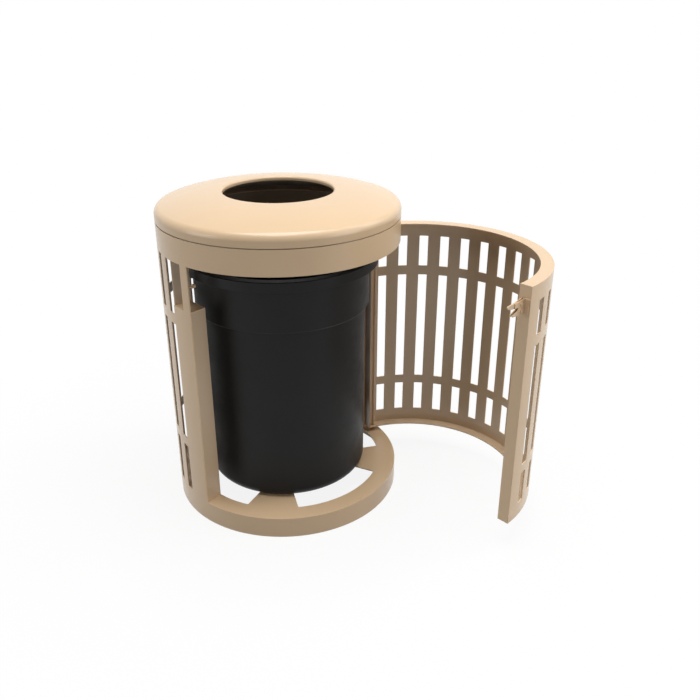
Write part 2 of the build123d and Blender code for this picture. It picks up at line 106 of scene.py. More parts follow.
def colour(name, default, description):
    """A linear colour."""
    return FloatVectorProperty(name=name, default=default, description=description, size=3, min=0.0, max=1.0,
                               subtype="COLOR")


class ReceptacleShell(bpy.types.PropertyGroup):
    """Sizes of the fixed housing"""

    radius: length("Radius", 0.330, "Outside radius of the round shell")
    sheet: length("Sheet", 0.003, "Thickness of the sheet steel")
    base_height: length("Base Height", 0.0611, "Height of the base plate's top over the floor")
    band_bottom: length("Band Bottom", 0.7611, "Lower edge of the plain band round the top")
    band_top: length("Band Top", 0.8282, "Upper edge of the plain band round the top")
    doorway_half: turn("Doorway Half Angle", 82.85, "Half of the angle that the doorway takes of the wall")
    edge_round: length("Edge Round", 0.0006, "Round on the cut edges under the paint")
    fold_round: length("Fold Round", 0.004, "Outside radius of a fold in the sheet")
    ring_width: length("Ring Width", 0.0508, "Width of the base plate's outer ring")
    hub_radius: length("Hub Radius", 0.139, "Radius of the base plate's hub")
    spoke_turn: turn("Spoke Turn", -3.3, "Azimuth of the middle of the first base opening")
    opening_half: turn("Opening Half Angle", 30.1, "Half angle of a base opening at the ring")
    opening_apex: length("Opening Apex", 0.057, "Distance behind the axis where an opening's sides meet")
    opening_corner: length("Opening Corner", 0.003, "Round in the corners of the base openings")
    seat_width: length("Seat Width", 0.057, "Width of the ring plate inside the band's top edge")
    hoop_height: length("Hoop Height", 0.012, "Height of the hoop that the lid fits over")
    hoop_clearance: length("Hoop Clearance", 0.0008, "Room between that hoop and the lid's side")
    post_depth: length("Post Depth", 0.051, "Depth of the posts beside the doorway, with the wall")
    post_width: length("Post Width", 0.075, "Width of the posts along the wall")
    post_top: length("Post Top", 0.639, "Top of the latch side's post")
    window_strip: length("Window Strip", 0.0276, "Width of the wall strip in front of the finger window")


class ReceptacleSlots(bpy.types.PropertyGroup):
    """Sizes of the rows of slots"""

    width: length("Slot Width", 0.0259, "Width of a slot along the wall")
    pitch: length("Slot Pitch", 0.0628, "Distance from slot to slot along the wall")
    wall_columns: count("Wall Columns", 16, 1, "Slots side by side in the wall")
    door_columns: count("Door Columns", 14, 1, "Slots side by side in the door")
    door_shift: length("Door Shift", 0.0024, "Distance of the door's slots from its middle")
    wall_floor: length("Wall Floor", 0.0039, "Height of the wall's lowest slots over the base plate")
    low_bottom: length("Low Row Bottom", 0.1174, "Lower end of the door's lowest row")
    low_top: length("Low Row Top", 0.2118, "Upper end of the lowest row")
    middle_bottom: length("Middle Row Bottom", 0.2397, "Lower end of the middle row")
    middle_top: length("Middle Row Top", 0.5840, "Upper end of the middle row")
    high_bottom: length("High Row Bottom", 0.6130, "Lower end of the top row")
    high_top: length("High Row Top", 0.7065, "Upper end of the door's top row")


class ReceptacleDoor(bpy.types.PropertyGroup):
    """Sizes of the door and its hinge"""

    gap_side: length("Side Gap", 0.0132, "Gap between the shut door and the wall at each side")
    gap_below: length("Gap Below", 0.0124, "Gap between the door and the base plate")
    gap_above: length("Gap Above", 0.0091, "Gap between the door and the band")
    rail_width: length("Rail Width", 0.0336, "Depth of the rails and stiles, with the skin")
    open_angle: turn("Open Angle", 82.13, "Angle by which the door stands open")
    rod_diameter: length("Rod Diameter", 0.0095, "Diameter of the hinge rod")
    hinge_radius: length("Hinge Radius", 0.3092, "Distance of the hinge rod from the shell's axis")
    hinge_inset: length("Hinge Inset", 0.021, "Distance of the rod from the door's edge, along the shell")
    nut_width: length("Nut Width", 0.015, "Width of the rod's nuts across their flats")
    nut_height: length("Nut Height", 0.007, "Height of the rod's nuts")
    running_fit: length("Running Fit", 0.00005, "Gap between the rod and what turns on it")
    bush_wall: length("Bush Wall", 0.002, "Wall thickness of the plain bushes")
    flange_width: length("Flange Width", 0.004, "Width of a bush's flange")
    flange_height: length("Flange Height", 0.0015, "Height of a bush's flange")
    seat_gap: length("Seat Gap", 0.0003, "Gap between parts that rest on each other")
    tip_round: length("Tip Round", 0.0008, "Round on the ends of the rod, its nuts and the sleeve")
    bush_round: length("Bush Round", 0.0003, "Round on the edges of the plain bushes")


class ReceptacleLatch(bpy.types.PropertyGroup):
    """Sizes of the striker pin, and the round on the latch's edges"""

    edge_round: length("Latch Edge Round", 0.0003, "Round on the edges of the sheets, rivets and hook")
    striker_height: length("Striker Height", 0.698, "Height of the striker pin")
    striker_inset: length("Striker Inset", 0.0202, "Distance of the striker from the doorway's edge")
    striker_diameter: length("Striker Diameter", 0.0055, "Diameter of the striker pin")
    striker_length: length("Striker Length", 0.024, "Length of the striker's neck")
    striker_head: length("Striker Head", 0.0108, "Diameter of the striker's head")
    striker_head_length: length("Striker Head Length", 0.010, "Length of the striker's head")
    striker_round: length("Striker Round", 0.003, "Round on the striker's head")


class ReceptacleLid(bpy.types.PropertyGroup):
    """Sizes of the spun lid"""

    seam: length("Seam", 0.003, "Gap between the lid and the band")
    side: length("Side", 0.0149, "Height of the lid's upright side")
    shoulder: length("Shoulder", 0.0217, "Radius of the lid's shoulder")
    slope: turn("Slope", 17.8, "Slope of the crown where it leaves the shoulder")
    crown: length("Crown", 0.577, "Radius of the crown's long curve")
    hole: length("Hole", 0.1484, "Radius of the hole")
    lip: length("Lip", 0.006, "Outside radius of the rolled lip")
    lip_drop: length("Lip Drop", 0.005, "Straight drop of the lip below its roll")
    tab_width: length("Tab Width", 0.025, "Width of the tabs that rest on the hoop")
    tab_reach: length("Tab Reach", 0.008, "Reach of a tab from the lid's side")
    tab_count: count("Tabs", 3, 3, "Tabs round the lid")
    tab_turn: turn("Tab Turn", 97.0, "Azimuth of the first tab")


class ReceptacleLiner(bpy.types.PropertyGroup):
    """Sizes of the loose liner"""

    wall: length("Wall", 0.004, "Thickness of the moulded wall")
    foot: length("Foot", 0.232, "Radius at the foot")
    body: length("Body", 0.2346, "Radius below the step")
    collar: length("Collar", 0.2445, "Radius of the collar above the step")
    rim: length("Rim", 0.2706, "Outside radius of the rim")
    step_height: length("Step Height", 0.5134, "Height of the step over the liner's foot")
    height: length("Height", 0.6639, "Height of the liner")
    rim_drop: length("Rim Drop", 0.027, "Depth of the turned-down rim")
    foot_round: length("Foot Round", 0.027, "Round between foot and body")
    bend: length("Bend", 0.005, "Round in the rim's bends")
    step_round: length("Step Round", 0.003, "Round in the step's inner bend")
    rim_round: length("Rim Round", 0.003, "Round at the rim's upper edge")
    lip_rise: length("Lip Rise", 0.00125, "Height of the slope's lower edge over the step")
    lip: length("Lip", 0.0036, "Height of the slope at the collar's lower edge")
    lip_slope: turn("Lip Slope", 25.0, "Lean of the slope at the collar's lower edge")
    lip_round: length("Lip Round", 0.0008, "Round at the slope's two edges")


class ReceptacleFinish(bpy.types.PropertyGroup):
    """Colours and gloss of the finishes"""

    paint: colour("Powder Coat", (0.80, 0.577, 0.358), "Colour of the powder coat")
    # Painted shade: the inside and deep colours are the powder coat made darker and greyer. They go on faces
    # inside the shell and under the lid to stand in for the shade there. They are not thinner coats.
    inside: colour("Inside Coat", (0.66, 0.495, 0.33), "Colour of the thinner coat on the inside")
    deep: colour("Deep Coat", (0.41, 0.345, 0.275), "Colour of the thin coat deep under the lid")
    paint_gloss: share("Powder Coat Roughness", 0.235, "Roughness of the powder coat")
    grain: length("Powder Coat Grain", 0.0011, "Size of the fine grain of the powder coat")
    liner: colour("Liner", (0.010, 0.010, 0.0102), "Colour of the moulded liner")
    liner_gloss: share("Liner Roughness", 0.42, "Roughness of the moulded liner")
    nylon: colour("Nylon", (0.42, 0.32, 0.23), "Colour of the plain bushes")
    zinc: colour("Zinc", (0.62, 0.62, 0.60), "Colour of the plated nuts and washer")


class ReceptacleStage(bpy.types.PropertyGroup):
    """Camera, lamps and floor"""

    camera_place: FloatVectorProperty(name="Camera Place", description="Where the camera stands", size=3,
                                      default=(-1.28007, -1.64723, 1.38762), subtype="TRANSLATION",
                                      unit="LENGTH")
    camera_azimuth: turn("Camera Azimuth", 46.875, "Direction of view, counted from +X towards +Y")
    camera_pitch: turn("Camera Pitch", 25.015, "Angle of the view below the horizon")
    lens: FloatProperty(name="Lens", description="Focal length", default=40.228, min=1.0,
                        subtype="DISTANCE_CAMERA")
    sensor: FloatProperty(name="Sensor", description="Width of the camera's sensor", default=36.0, min=1.0,
                          subtype="DISTANCE_CAMERA")
    camera_reach: length("Camera Reach", 60.0, "Distance up to which the camera sees")
    overhead: power("Overhead Lamp", 670.0, "Power of the large lamp high above")
    overhead_height: length("Overhead Height", 9.0, "Height of the lamp above")
    overhead_size: length("Overhead Size", 6.0, "Width of the lamp above")
    left: power("Left Lamp", 74.0, "Power of the lamp on the left")
    left_azimuth: turn("Left Azimuth", 160.0, "Where the left lamp stands, counted from +X towards +Y")
    right: power("Right Lamp", 64.0, "Power of the lamp on the right")
    right_azimuth: turn("Right Azimuth", 290.0, "Where the right lamp stands, counted from +X towards +Y")
    side_reach: length("Side Reach", 5.5, "Distance of the side lamps from the receptacle")
    side_height: length("Side Height", 1.6, "Height of the side lamps")
    side_size: length("Side Size", 3.0, "Width of the side lamps")
    raised: power("Raised Lamp", 112.0, "Power of the raised lamp on the far right")
    raised_azimuth: turn("Raised Azimuth", 319.0, "Where the raised lamp stands, counted from +X towards +Y")
    raised_reach: length("Raised Reach", 4.5, "Distance of the raised lamp from the receptacle")
    raised_height: length("Raised Height", 4.8, "Height of the raised lamp")
    raised_size: length("Raised Size", 6.0, "Width of the raised lamp")
    strip: power("Strip Lamp", 42.0, "Power of the strip that lights the lid's shoulder")
    strip_azimuth: turn("Strip Azimuth", 330.0, "Where the strip stands, counted from +X towards +Y")
    strip_reach: length("Strip Reach", 4.5, "Distance of the strip from the receptacle")
    strip_height: length("Strip Height", 4.4, "Height of the strip")
    strip_width: length("Strip Width", 1.0, "Width of the strip")
    strip_length: length("Strip Length", 4.4, "Length of the strip")
    room: FloatProperty(name="Room Light", description="Strength of the even light around", default=0.0,
                        min=0.0)
    floor_half: length("Floor Half Width", 12.0, "Half of the floor's width")
    floor_drop: length("Floor Drop", 0.0004, "Depth of the floor below the skirt's foot")
    floor_bounce: share("Floor Bounce", 0.38, "Share of the light that the floor throws back up")
    floor_grey: share("Floor Grey", 0.9, "Brightness of the floor where it takes shadow")
    floor_shade: share("Floor Shade", 0.12, "Share of the floor's look that takes shadow")
    fade_start: length("Fade Start", 0.5, "Distance from the axis where the floor's shadow begins to fade")
    fade_stop: length("Fade Stop", 1.3, "Distance from the axis where the floor's shadow has gone")


class ReceptacleSettings(bpy.types.PropertyGroup):
    """All the sizes and colours of the receptacle"""

    shell: PointerProperty(type=ReceptacleShell)
    slots: PointerProperty(type=ReceptacleSlots)
    door: PointerProperty(type=ReceptacleDoor)
    latch: PointerProperty(type=ReceptacleLatch)
    lid: PointerProperty(type=ReceptacleLid)
    liner: PointerProperty(type=ReceptacleLiner)
    finish: PointerProperty(type=ReceptacleFinish)
    stage: PointerProperty(type=ReceptacleStage)


# Outlines


def polar(radius, angle, centre=(0.0, 0.0)):
    """The point at a radius and an azimuth about a centre."""
    return (centre[0] + radius * math.cos(angle), centre[1] + radius * math.sin(angle))


def arc(radius, start, stop, centre=(0.0, 0.0), step=math.radians(2.5)):
    """Points along an arc, its ends included."""
    parts = max(2, math.ceil(abs(stop - start) / step))
    return [polar(radius, start + (stop - start) * i / parts, centre) for i in range(parts + 1)]


def circle(radius, centre=(0.0, 0.0), points=32):
    """A closed round outline."""
    return [polar(radius, TURN * i / points, centre) for i in range(points)]


def cut_back(points, distance):
    """A line of points, shortened at its start."""
    if distance <= 0:
        return list(points)
    left = distance
    for i in range(len(points) - 1):
        a, b = Vector(points[i]), Vector(points[i + 1])
        run = (b - a).length
        if left < run * 0.999:
            return [tuple(a + (b - a) * (left / run))] + list(points[i + 1:])
        left -= run
    raise ValueError("an outline's side is shorter than the rounds at its ends")


def outline(sides, rounds, steps=4):
    """A closed outline of sides that meet at corners, each corner rounded by its own radius.

    The round at index i lies between side i and the next one.
    """
    trimmed = []
    for i, side in enumerate(sides):
        kept = cut_back(side, rounds[i - 1])
        trimmed.append(cut_back(kept[::-1], rounds[i])[::-1])
    loop = []
    for i, side in enumerate(sides):
        loop += trimmed[i] if rounds[i] > 0 else trimmed[i][:-1]
        if rounds[i] > 0:
            a, b, c = Vector(trimmed[i][-1]), Vector(side[-1]), Vector(trimmed[(i + 1) % len(sides)][0])
            for k in range(1, steps + 1):
                t = k / (steps + 1)
                loop.append(tuple(a * (1 - t) ** 2 + b * 2 * t * (1 - t) + c * t**2))
    return tidy_loop(loop)


def tidy_loop(loop):
    """The outline without points that lie on top of each other."""
    kept = []
    for point in loop:
        if not kept or (Vector(point) - Vector(kept[-1])).length > SAME:
            kept.append(tuple(point))
    while (Vector(kept[0]) - Vector(kept[-1])).length <= SAME:
        kept.pop()
    return kept


def polygon(points, rounds, steps=4):
    """A closed outline of straight sides, each given point rounded by its own radius."""
    sides = [[a, b] for a, b in zip(points, [*points[1:], points[0]])]
    return outline(sides, [*rounds[1:], rounds[0]], steps)


def section(inner, outer, low, high, rounds, steps=4):
    """The upright section of a plain ring, its rounds given from the inner lower corner round."""
    return polygon([(inner, low), (outer, low), (outer, high), (inner, high)], rounds, steps)


def sector(inner, outer, start, stop, rounds, steps=4):
    """The plan of a part of a flat ring, its rounds given from the outer end at stop."""
    sides = [arc(outer, start, stop), [polar(outer, stop), polar(inner, stop)],
             arc(inner, stop, start), [polar(inner, start), polar(outer, start)]]
    return outline(sides, rounds, steps)


def area_of(loop):
    """Twice the signed area inside a closed outline."""
    return sum(a[0] * b[1] - b[0] * a[1] for a, b in zip(loop, loop[1:] + loop[:1]))


def wound(loop, hole=False):
    """The outline with the sheet on its left: anticlockwise, or clockwise round a hole."""
    return loop[::-1] if (area_of(loop) > 0) == hole else list(loop)


def aside(point, before, after, distance):
    """A line's point moved to its left, so that the line before and after it moves by the distance."""
    left = Vector((-(before.y + after.y), before.x + after.x))
    if left.length < SAME:
        return point
    left.normalize()
    lean = max(LEAST_LEAN, left.dot(Vector((-after.y, after.x))))
    return tuple(Vector(point) + left * (distance / lean))


def drawn_in(loop, distances):
    """The outline moved towards the sheet, each point by its own distance."""
    moved = []
    for i, point in enumerate(loop):
        before = (Vector(point) - Vector(loop[i - 1])).normalized()
        after = (Vector(loop[(i + 1) % len(loop)]) - Vector(point)).normalized()
        moved.append(aside(point, before, after, distances[i]))
    return moved


# Meshes


def smoothed(mesh, sharp=math.radians(50)):
    """Smooth shading, with the corners over an angle kept crisp."""
    mesh.polygons.foreach_set("use_smooth", [True] * len(mesh.polygons))
    mesh.set_sharp_from_angle(angle=sharp)
    mesh.update()


def mesh_of(name, points, faces, matrix=None):
    """A mesh with no point twice and its faces turned outwards."""
    mesh = bpy.data.meshes.new(name)
    mesh.from_pydata(points, [], faces)
    if matrix is not None:
        mesh.transform(matrix)
    bm = bmesh.new()
    bm.from_mesh(mesh)
    bmesh.ops.remove_doubles(bm, verts=bm.verts, dist=SAME / 10)
    bmesh.ops.recalc_face_normals(bm, faces=bm.faces)
    bm.to_mesh(mesh)
    bm.free()
    smoothed(mesh)
    return mesh


def rim_levels(low, high, round_low, round_high, steps=2):
    """How far in and how high each level of a plate's side lies, from the bottom up."""
    levels = []
    for k in range(steps + 1 if round_low > 0 else 1):
        t = math.pi / 2 * k / steps if round_low > 0 else math.pi / 2
        levels.append((round_low * (1 - math.sin(t)), low + round_low * (1 - math.cos(t)) if k else low))
    for k in range(steps + 1 if round_high > 0 else 1):
        t = math.pi / 2 * (1 - k / steps) if round_high > 0 else math.pi / 2
        levels.append((round_high * (1 - math.sin(t)), high - round_high * (1 - math.cos(t))))
    return levels


def plate(name, loops, low, high, round_low=0.0, round_high=0.0, soft=None, matrix=None):
    """A mesh cut from sheet: outlines made thick, with rounded rims.

    The first outline is the outside and the rest are holes. soft says for a
    point how much of the rim's round it gets, from 0 to 1.
    """
    levels = rim_levels(low, high, round_low, round_high)
    points, faces, caps = [], [], []
    for number, given in enumerate(loops):
        loop = wound(given, hole=number > 0)
        size = len(loop)
        shares = [1.0 if soft is None else soft(p) for p in loop]
        first = len(points)
        rings = []
        for inset, z in levels:
            ring = drawn_in(loop, [inset * part for part in shares])
            rings.append(ring)
            points += [(x, y, z) for x, y in ring]
        for level in range(len(levels) - 1):
            for i in range(size):
                j = (i + 1) % size
                a, b = first + level * size, first + (level + 1) * size
                faces.append((a + i, a + j, b + j, b + i))
        caps.append((first, first + (len(levels) - 1) * size, rings[0], rings[-1]))
    for end, ring_index in ((0, 2), (1, 3)):
        flat = [[Vector((x, y, 0.0)) for x, y in cap[ring_index]] for cap in caps]
        where = [cap[end] + i for cap in caps for i in range(len(cap[ring_index]))]
        faces += [(where[a], where[b], where[c]) for a, b, c in tessellate_polygon(flat)]
    return mesh_of(name, points, faces, matrix)


def spun(name, loop, segments=192, centre=(0.0, 0.0), matrix=None):
    """A mesh turned about an upright axis from a closed outline of radius and height."""
    size = len(loop)
    on_axis = {i for i, (radius, _) in enumerate(loop) if radius < SAME}
    points, faces = [], []
    for s in range(segments):
        angle = TURN * s / segments
        after = (s + 1) % segments
        for i, (radius, z) in enumerate(loop):
            j = (i + 1) % size
            points.append((*polar(radius, angle, centre), z))
            if not {i, j} <= on_axis:
                faces.append((s * size + i, s * size + j, after * size + j, after * size + i))
    return mesh_of(name, points, faces, matrix)


def joined(name, meshes):
    """One mesh out of several."""
    bm = bmesh.new()
    for mesh in meshes:
        bm.from_mesh(mesh)
    whole = bpy.data.meshes.new(name)
    bm.to_mesh(whole)
    bm.free()
    for mesh in meshes:
        bpy.data.meshes.remove(mesh)
    smoothed(whole)
    return whole


def between(low, high, marks, step):
    """Values from low to high that hold every mark and leave no gap over a step."""
    marks = sorted({low, high, *[m for m in marks if low < m < high]})
    values = [marks[0]]
    for a, b in zip(marks, marks[1:]):
        parts = max(1, math.ceil((b - a) / step - SAME))
        values += [a + (b - a) * k / parts for k in range(1, parts + 1)]
    return values


def curved_sheet(name, inner, outer, start, stop, low, high, holes, edge_round, plain=None, matrix=None):
    """A round sheet with square holes cut through it and its cut edges rounded.

    Each hole is its two azimuths and its two heights. plain says of an edge's
    two ends, as radius, azimuth and height, that it stays crisp.
    """
    angles = between(start, stop, [a for h in holes for a in h[:2]], SHEET_STEP)
    heights = between(low, high, [z for h in holes for z in h[2:]], SHEET_RISE)

    def solid(i, j):
        if not (0 <= i < len(angles) - 1 and 0 <= j < len(heights) - 1):
            return False
        a, z = (angles[i] + angles[i + 1]) / 2, (heights[j] + heights[j + 1]) / 2
        return not any(h[0] < a < h[1] and h[2] < z < h[3] for h in holes)

    bm = bmesh.new()
    made = {}

    def corner(i, j, side):
        if (i, j, side) not in made:
            radius = outer if side else inner
            made[i, j, side] = bm.verts.new((*polar(radius, angles[i]), heights[j]))
        return made[i, j, side]

    for i in range(len(angles) - 1):
        for j in range(len(heights) - 1):
            if not solid(i, j):
                continue
            bm.faces.new([corner(i, j, 1), corner(i + 1, j, 1), corner(i + 1, j + 1, 1), corner(i, j + 1, 1)])
            bm.faces.new([corner(i, j, 0), corner(i, j + 1, 0), corner(i + 1, j + 1, 0), corner(i + 1, j, 0)])
            for di, dj, p, q in ((-1, 0, (i, j), (i, j + 1)), (1, 0, (i + 1, j + 1), (i + 1, j)),
                                 (0, -1, (i + 1, j), (i, j)), (0, 1, (i, j + 1), (i + 1, j + 1))):
                if not solid(i + di, j + dj):
                    bm.faces.new([corner(*p, 1), corner(*q, 1), corner(*q, 0), corner(*p, 0)])
    bmesh.ops.recalc_face_normals(bm, faces=bm.faces)
    where = {v: key for key, v in made.items()}

    def told(v):
        i, j, side = where[v]
        return (outer if side else inner), angles[i], heights[j]

    rounds = []
    for edge in bm.edges:
        if len(edge.link_faces) == 2 and edge.calc_face_angle(0.0) > CUT_EDGE:
            if plain is None or not plain(told(edge.verts[0]), told(edge.verts[1])):
                rounds.append(edge)
    bmesh.ops.bevel(bm, geom=rounds, offset=edge_round, offset_type="OFFSET", segments=2, profile=0.5,
                    affect="EDGES", clamp_overlap=True)
    if matrix is not None:
        bm.transform(matrix)
    mesh = bpy.data.meshes.new(name)
    bm.to_mesh(mesh)
    bm.free()
    smoothed(mesh)
    return mesh


def bent(points, rounds):
    """An open line of points with its inner corners rounded, one radius for each."""
    line = [tuple(points[0])]
    for i in range(1, len(points) - 1):
        before, corner, after = Vector(points[i - 1]), Vector(points[i]), Vector(points[i + 1])
        one, two = (before - corner).normalized(), (after - corner).normalized()
        half = one.angle(two) / 2
        reach = rounds[i - 1] / math.tan(half)
        centre = corner + (one + two).normalized() * (rounds[i - 1] / math.sin(half))
        start, stop = corner + one * reach - centre, corner + two * reach - centre
        sweep = start.angle_signed(stop)
        parts = max(3, math.ceil(abs(sweep) / BEND_STEP))
        for k in range(parts + 1):
            turned = Matrix.Rotation(-sweep * k / parts, 2) @ start
            line.append(tuple(centre + turned))
    line.append(tuple(points[-1]))
    return line


def beside(line, distance):
    """The open line, moved to its left by a distance."""
    ways = [(Vector(b) - Vector(a)).normalized() for a, b in zip(line, line[1:])]
    return [aside(point, before, after, distance)
            for point, before, after in zip(line, [ways[0], *ways], [*ways, ways[-1]])]


def thickened(line, thickness, rounds):
    """A closed outline of sheet laid to the left of an open line, with rounded ends.

    rounds are the round at the line's end and at its start.
    """
    other = beside(line, thickness)[::-1]
    sides = [line, [line[-1], other[0]], other, [other[-1], line[0]]]
    return outline(sides, [rounds[0], rounds[0], rounds[1], rounds[1]])


# Places worked out from the sizes


class Layout:
    """Angles, heights and places that the pieces share."""

    def __init__(self, made):
        shell, door, latch = made.shell, made.door, made.latch
        self.inner = shell.radius - shell.sheet
        middle = -math.pi / 2
        self.way_start = middle - shell.doorway_half
        self.way_stop = middle + shell.doorway_half
        self.wall_start = self.way_stop
        self.wall_stop = self.way_start + TURN
        half = shell.doorway_half - door.gap_side / shell.radius
        self.door_start = middle - half
        self.door_stop = middle + half
        self.door_bottom = shell.base_height + door.gap_below
        self.door_top = shell.band_bottom - door.gap_above
        self.rail_inner = shell.radius - door.rail_width
        self.ring_inner = shell.radius - shell.ring_width
        self.post_inner = shell.radius - shell.post_depth
        self.post_angle = shell.post_width / shell.radius
        self.hinge = polar(door.hinge_radius, self.door_stop - door.hinge_inset / door.hinge_radius)
        pin = Matrix.Translation((*self.hinge, 0.0))
        self.opened = pin @ Matrix.Rotation(door.open_angle, 4, "Z") @ pin.inverted()
        self.hoop_outer = self.inner - shell.hoop_clearance
        self.hoop_top = shell.band_top + shell.hoop_height
        self.lid_bottom = shell.band_top + made.lid.seam
        self.plate_bottom = shell.base_height - shell.sheet
        self.striker_angle = self.wall_stop - latch.striker_inset / shell.radius
        self.rod = door.rod_diameter / 2
        self.bore = self.rod + door.running_fit
        self.bush = self.bore + door.bush_wall


def slot_holes(made, columns, middle, rows):
    """The holes of some rows of slots, spread evenly about an azimuth."""
    pitch, half = made.slots.pitch / made.shell.radius, made.slots.width / 2 / made.shell.radius
    first = middle - pitch * (columns - 1) / 2
    return [(first + pitch * i - half, first + pitch * i + half, low, high)
            for i in range(columns) for low, high in rows]


# Finishes


def grown(nodes, kind, **values):
    """A node with its inputs set."""
    node = nodes.new(kind)
    for name, value in values.items():
        node.inputs[name].default_value = value
    return node


class Coat:
    """A node material that is being built up."""

    def __init__(self, name):
        self.material = bpy.data.materials.new(name)
        self.material.use_nodes = True
        self.nodes, self.links = self.material.node_tree.nodes, self.material.node_tree.links
        self.shader = self.nodes["Principled BSDF"]
        self.place = self.nodes.new("ShaderNodeTexCoord").outputs["Object"]
        self.skin = None

    def noise(self, scale, detail=2.0, rough=0.5):
        """Even three-dimensional noise, fixed to the piece."""
        node = grown(self.nodes, "ShaderNodeTexNoise", Scale=scale, Detail=detail, Roughness=rough)
        self.links.new(self.place, node.inputs["Vector"])
        return node.outputs["Fac"]

    def spread(self, value, low, high, start=0.3, stop=0.7):
        """A value from noise, spread between two ends."""
        node = self.nodes.new("ShaderNodeMapRange")
        for index, number in enumerate((start, stop, low, high), start=1):
            node.inputs[index].default_value = number
        self.links.new(value, node.inputs[0])
        return node.outputs[0]

    def times(self, first, second):
        """Two values multiplied."""
        node = self.nodes.new("ShaderNodeMath")
        node.operation = "MULTIPLY"
        self.links.new(first, node.inputs[0])
        self.links.new(second, node.inputs[1])
        return node.outputs[0]

    def tint(self, base, amount):
        """A base colour that a value makes lighter or darker."""
        node = grown(self.nodes, "ShaderNodeHueSaturation", Color=(*base, 1.0))
        self.links.new(amount, node.inputs["Value"])
        self.links.new(node.outputs["Color"], self.shader.inputs["Base Color"])

    def roughen(self, amount):
        """A roughness that follows a value."""
        self.links.new(amount, self.shader.inputs["Roughness"])

    def raise_skin(self, value, strength, distance):
        """A bump on top of the bumps given before."""
        node = grown(self.nodes, "ShaderNodeBump", Strength=strength, Distance=distance)
        self.links.new(value, node.inputs["Height"])
        if self.skin is not None:
            self.links.new(self.skin, node.inputs["Normal"])
        self.skin = node.outputs["Normal"]
        self.links.new(self.skin, self.shader.inputs["Normal"])


def powder_coat(finish, base):
    """Fine-textured powder coat: soft cloudiness, a fine grain and an orange-peel skin."""
    coat = Coat("powder_coat")
    cloud = coat.noise(scale=3.5, detail=3.0)
    grain = coat.noise(scale=1.0 / finish.grain, rough=0.6)
    peel = coat.noise(scale=0.28 / finish.grain)
    scuff = coat.noise(scale=26.0, detail=5.0, rough=0.7)
    tone = coat.times(coat.spread(cloud, low=0.985, high=1.015), coat.spread(grain, low=0.988, high=1.01))
    coat.tint(base, tone)
    coat.roughen(coat.spread(scuff, low=finish.paint_gloss - 0.015, high=finish.paint_gloss + 0.03))
    coat.raise_skin(peel, strength=0.03, distance=0.0004)
    coat.raise_skin(grain, strength=0.04, distance=0.0001)
    coat.shader.inputs["IOR"].default_value = 1.5
    return coat.material


def moulded_plastic(finish):
    """Charcoal moulded plastic with a fine mould grain and faint rubbed patches."""
    coat = Coat("moulded_liner_plastic")
    cloud = coat.noise(scale=5.0, detail=4.0, rough=0.6)
    rub = coat.noise(scale=18.0, detail=6.0, rough=0.75)
    coat.tint(finish.liner, coat.spread(cloud, low=0.86, high=1.16))
    coat.roughen(coat.spread(rub, low=finish.liner_gloss - 0.05, high=finish.liner_gloss + 0.10))
    coat.raise_skin(coat.noise(scale=1400.0, rough=0.6), strength=0.22, distance=0.0002)
    coat.shader.inputs["IOR"].default_value = 1.49
    coat.shader.inputs["Specular IOR Level"].default_value = 0.2
    return coat.material


def bush_nylon(finish):
    """Tan nylon with turning marks too fine to count."""
    coat = Coat("bush_nylon")
    cloud = coat.noise(scale=90.0, detail=3.0)
    coat.tint(finish.nylon, coat.spread(cloud, low=0.93, high=1.06))
    coat.roughen(coat.spread(cloud, low=0.42, high=0.55))
    coat.raise_skin(coat.noise(scale=1600.0), strength=0.1, distance=0.0001)
    return coat.material


def zinc_plate(finish):
    """Zinc-plated steel, a little blotched where the plating is thin."""
    coat = Coat("zinc_plate")
    blotch = coat.noise(scale=140.0, detail=4.0, rough=0.65)
    coat.tint(finish.zinc, coat.spread(blotch, low=0.86, high=1.08))
    coat.roughen(coat.spread(blotch, low=0.28, high=0.46))
    coat.shader.inputs["Metallic"].default_value = 1.0
    coat.raise_skin(coat.noise(scale=2200.0), strength=0.12, distance=0.0001)
    return coat.material


FINISHES = {
    "frame_paint": lambda finish: powder_coat(finish, finish.paint),
    # The inside and deep finishes are the powder coat with painted shade in their colours.
    "inside_shade_paint": lambda finish: powder_coat(finish, finish.inside),
    "deep_shade_paint": lambda finish: powder_coat(finish, finish.deep),
    "liner_plastic": moulded_plastic,
    "bush_nylon": bush_nylon,
    "zinc_steel": zinc_plate,
}


def finish_for(made, slot):
    """The material that goes with a material slot, made once."""
    key = "receptacle_" + slot
    if key not in bpy.data.materials:
        material = FINISHES[slot](made.finish)
        material.name = key
    return bpy.data.materials[key]


def placed(made, mesh, body, slot, nodes, coat=None):
    """A finished piece: linked, painted, riding on its body and standing for its solids."""
    piece = bpy.data.objects.new(mesh.name, mesh)
    bpy.context.scene.collection.objects.link(piece)
    mesh.materials.append(finish_for(made, coat or slot))
    weighted = piece.modifiers.new("Even Normals", "WEIGHTED_NORMAL")
    weighted.keep_sharp = True
    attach(piece, body)
    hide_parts(*nodes)
    return piece


def shade_painted_faces(made, piece, turned_in, coat="inside_shade_paint"):
    """Give the faces that turn inwards a darker coat of painted shade, the inside's unless another is named.
    """
    piece.data.materials.append(finish_for(made, coat))
    for face in piece.data.polygons:
        if turned_in(face.center, face.normal):
            face.material_index = 1


def faces_axis(centre=(0.0, 0.0)):
    """The test for a face that looks at an upright axis."""
    def test(spot, normal):
        inward = Vector(centre) - spot.xy
        return normal.xy.dot(inward) > LOOKS_IN * inward.length
    return test


def dressed(made, node, slot, edge_round):
    """A solid that keeps its own shape: painted, with its cut edges rounded."""
    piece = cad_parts[node]
    piece.data.materials.clear()
    piece.data.materials.append(finish_for(made, slot))
    smoothed(piece.data, math.radians(30))
    if edge_round > 0:
        bevel = piece.modifiers.new("Edge Round", "BEVEL")
        bevel.width = edge_round
        bevel.segments = 2
        bevel.limit_method = "ANGLE"
        bevel.angle_limit = CUT_EDGE
        bevel.harden_normals = True


# Plans and edges of the steel parts


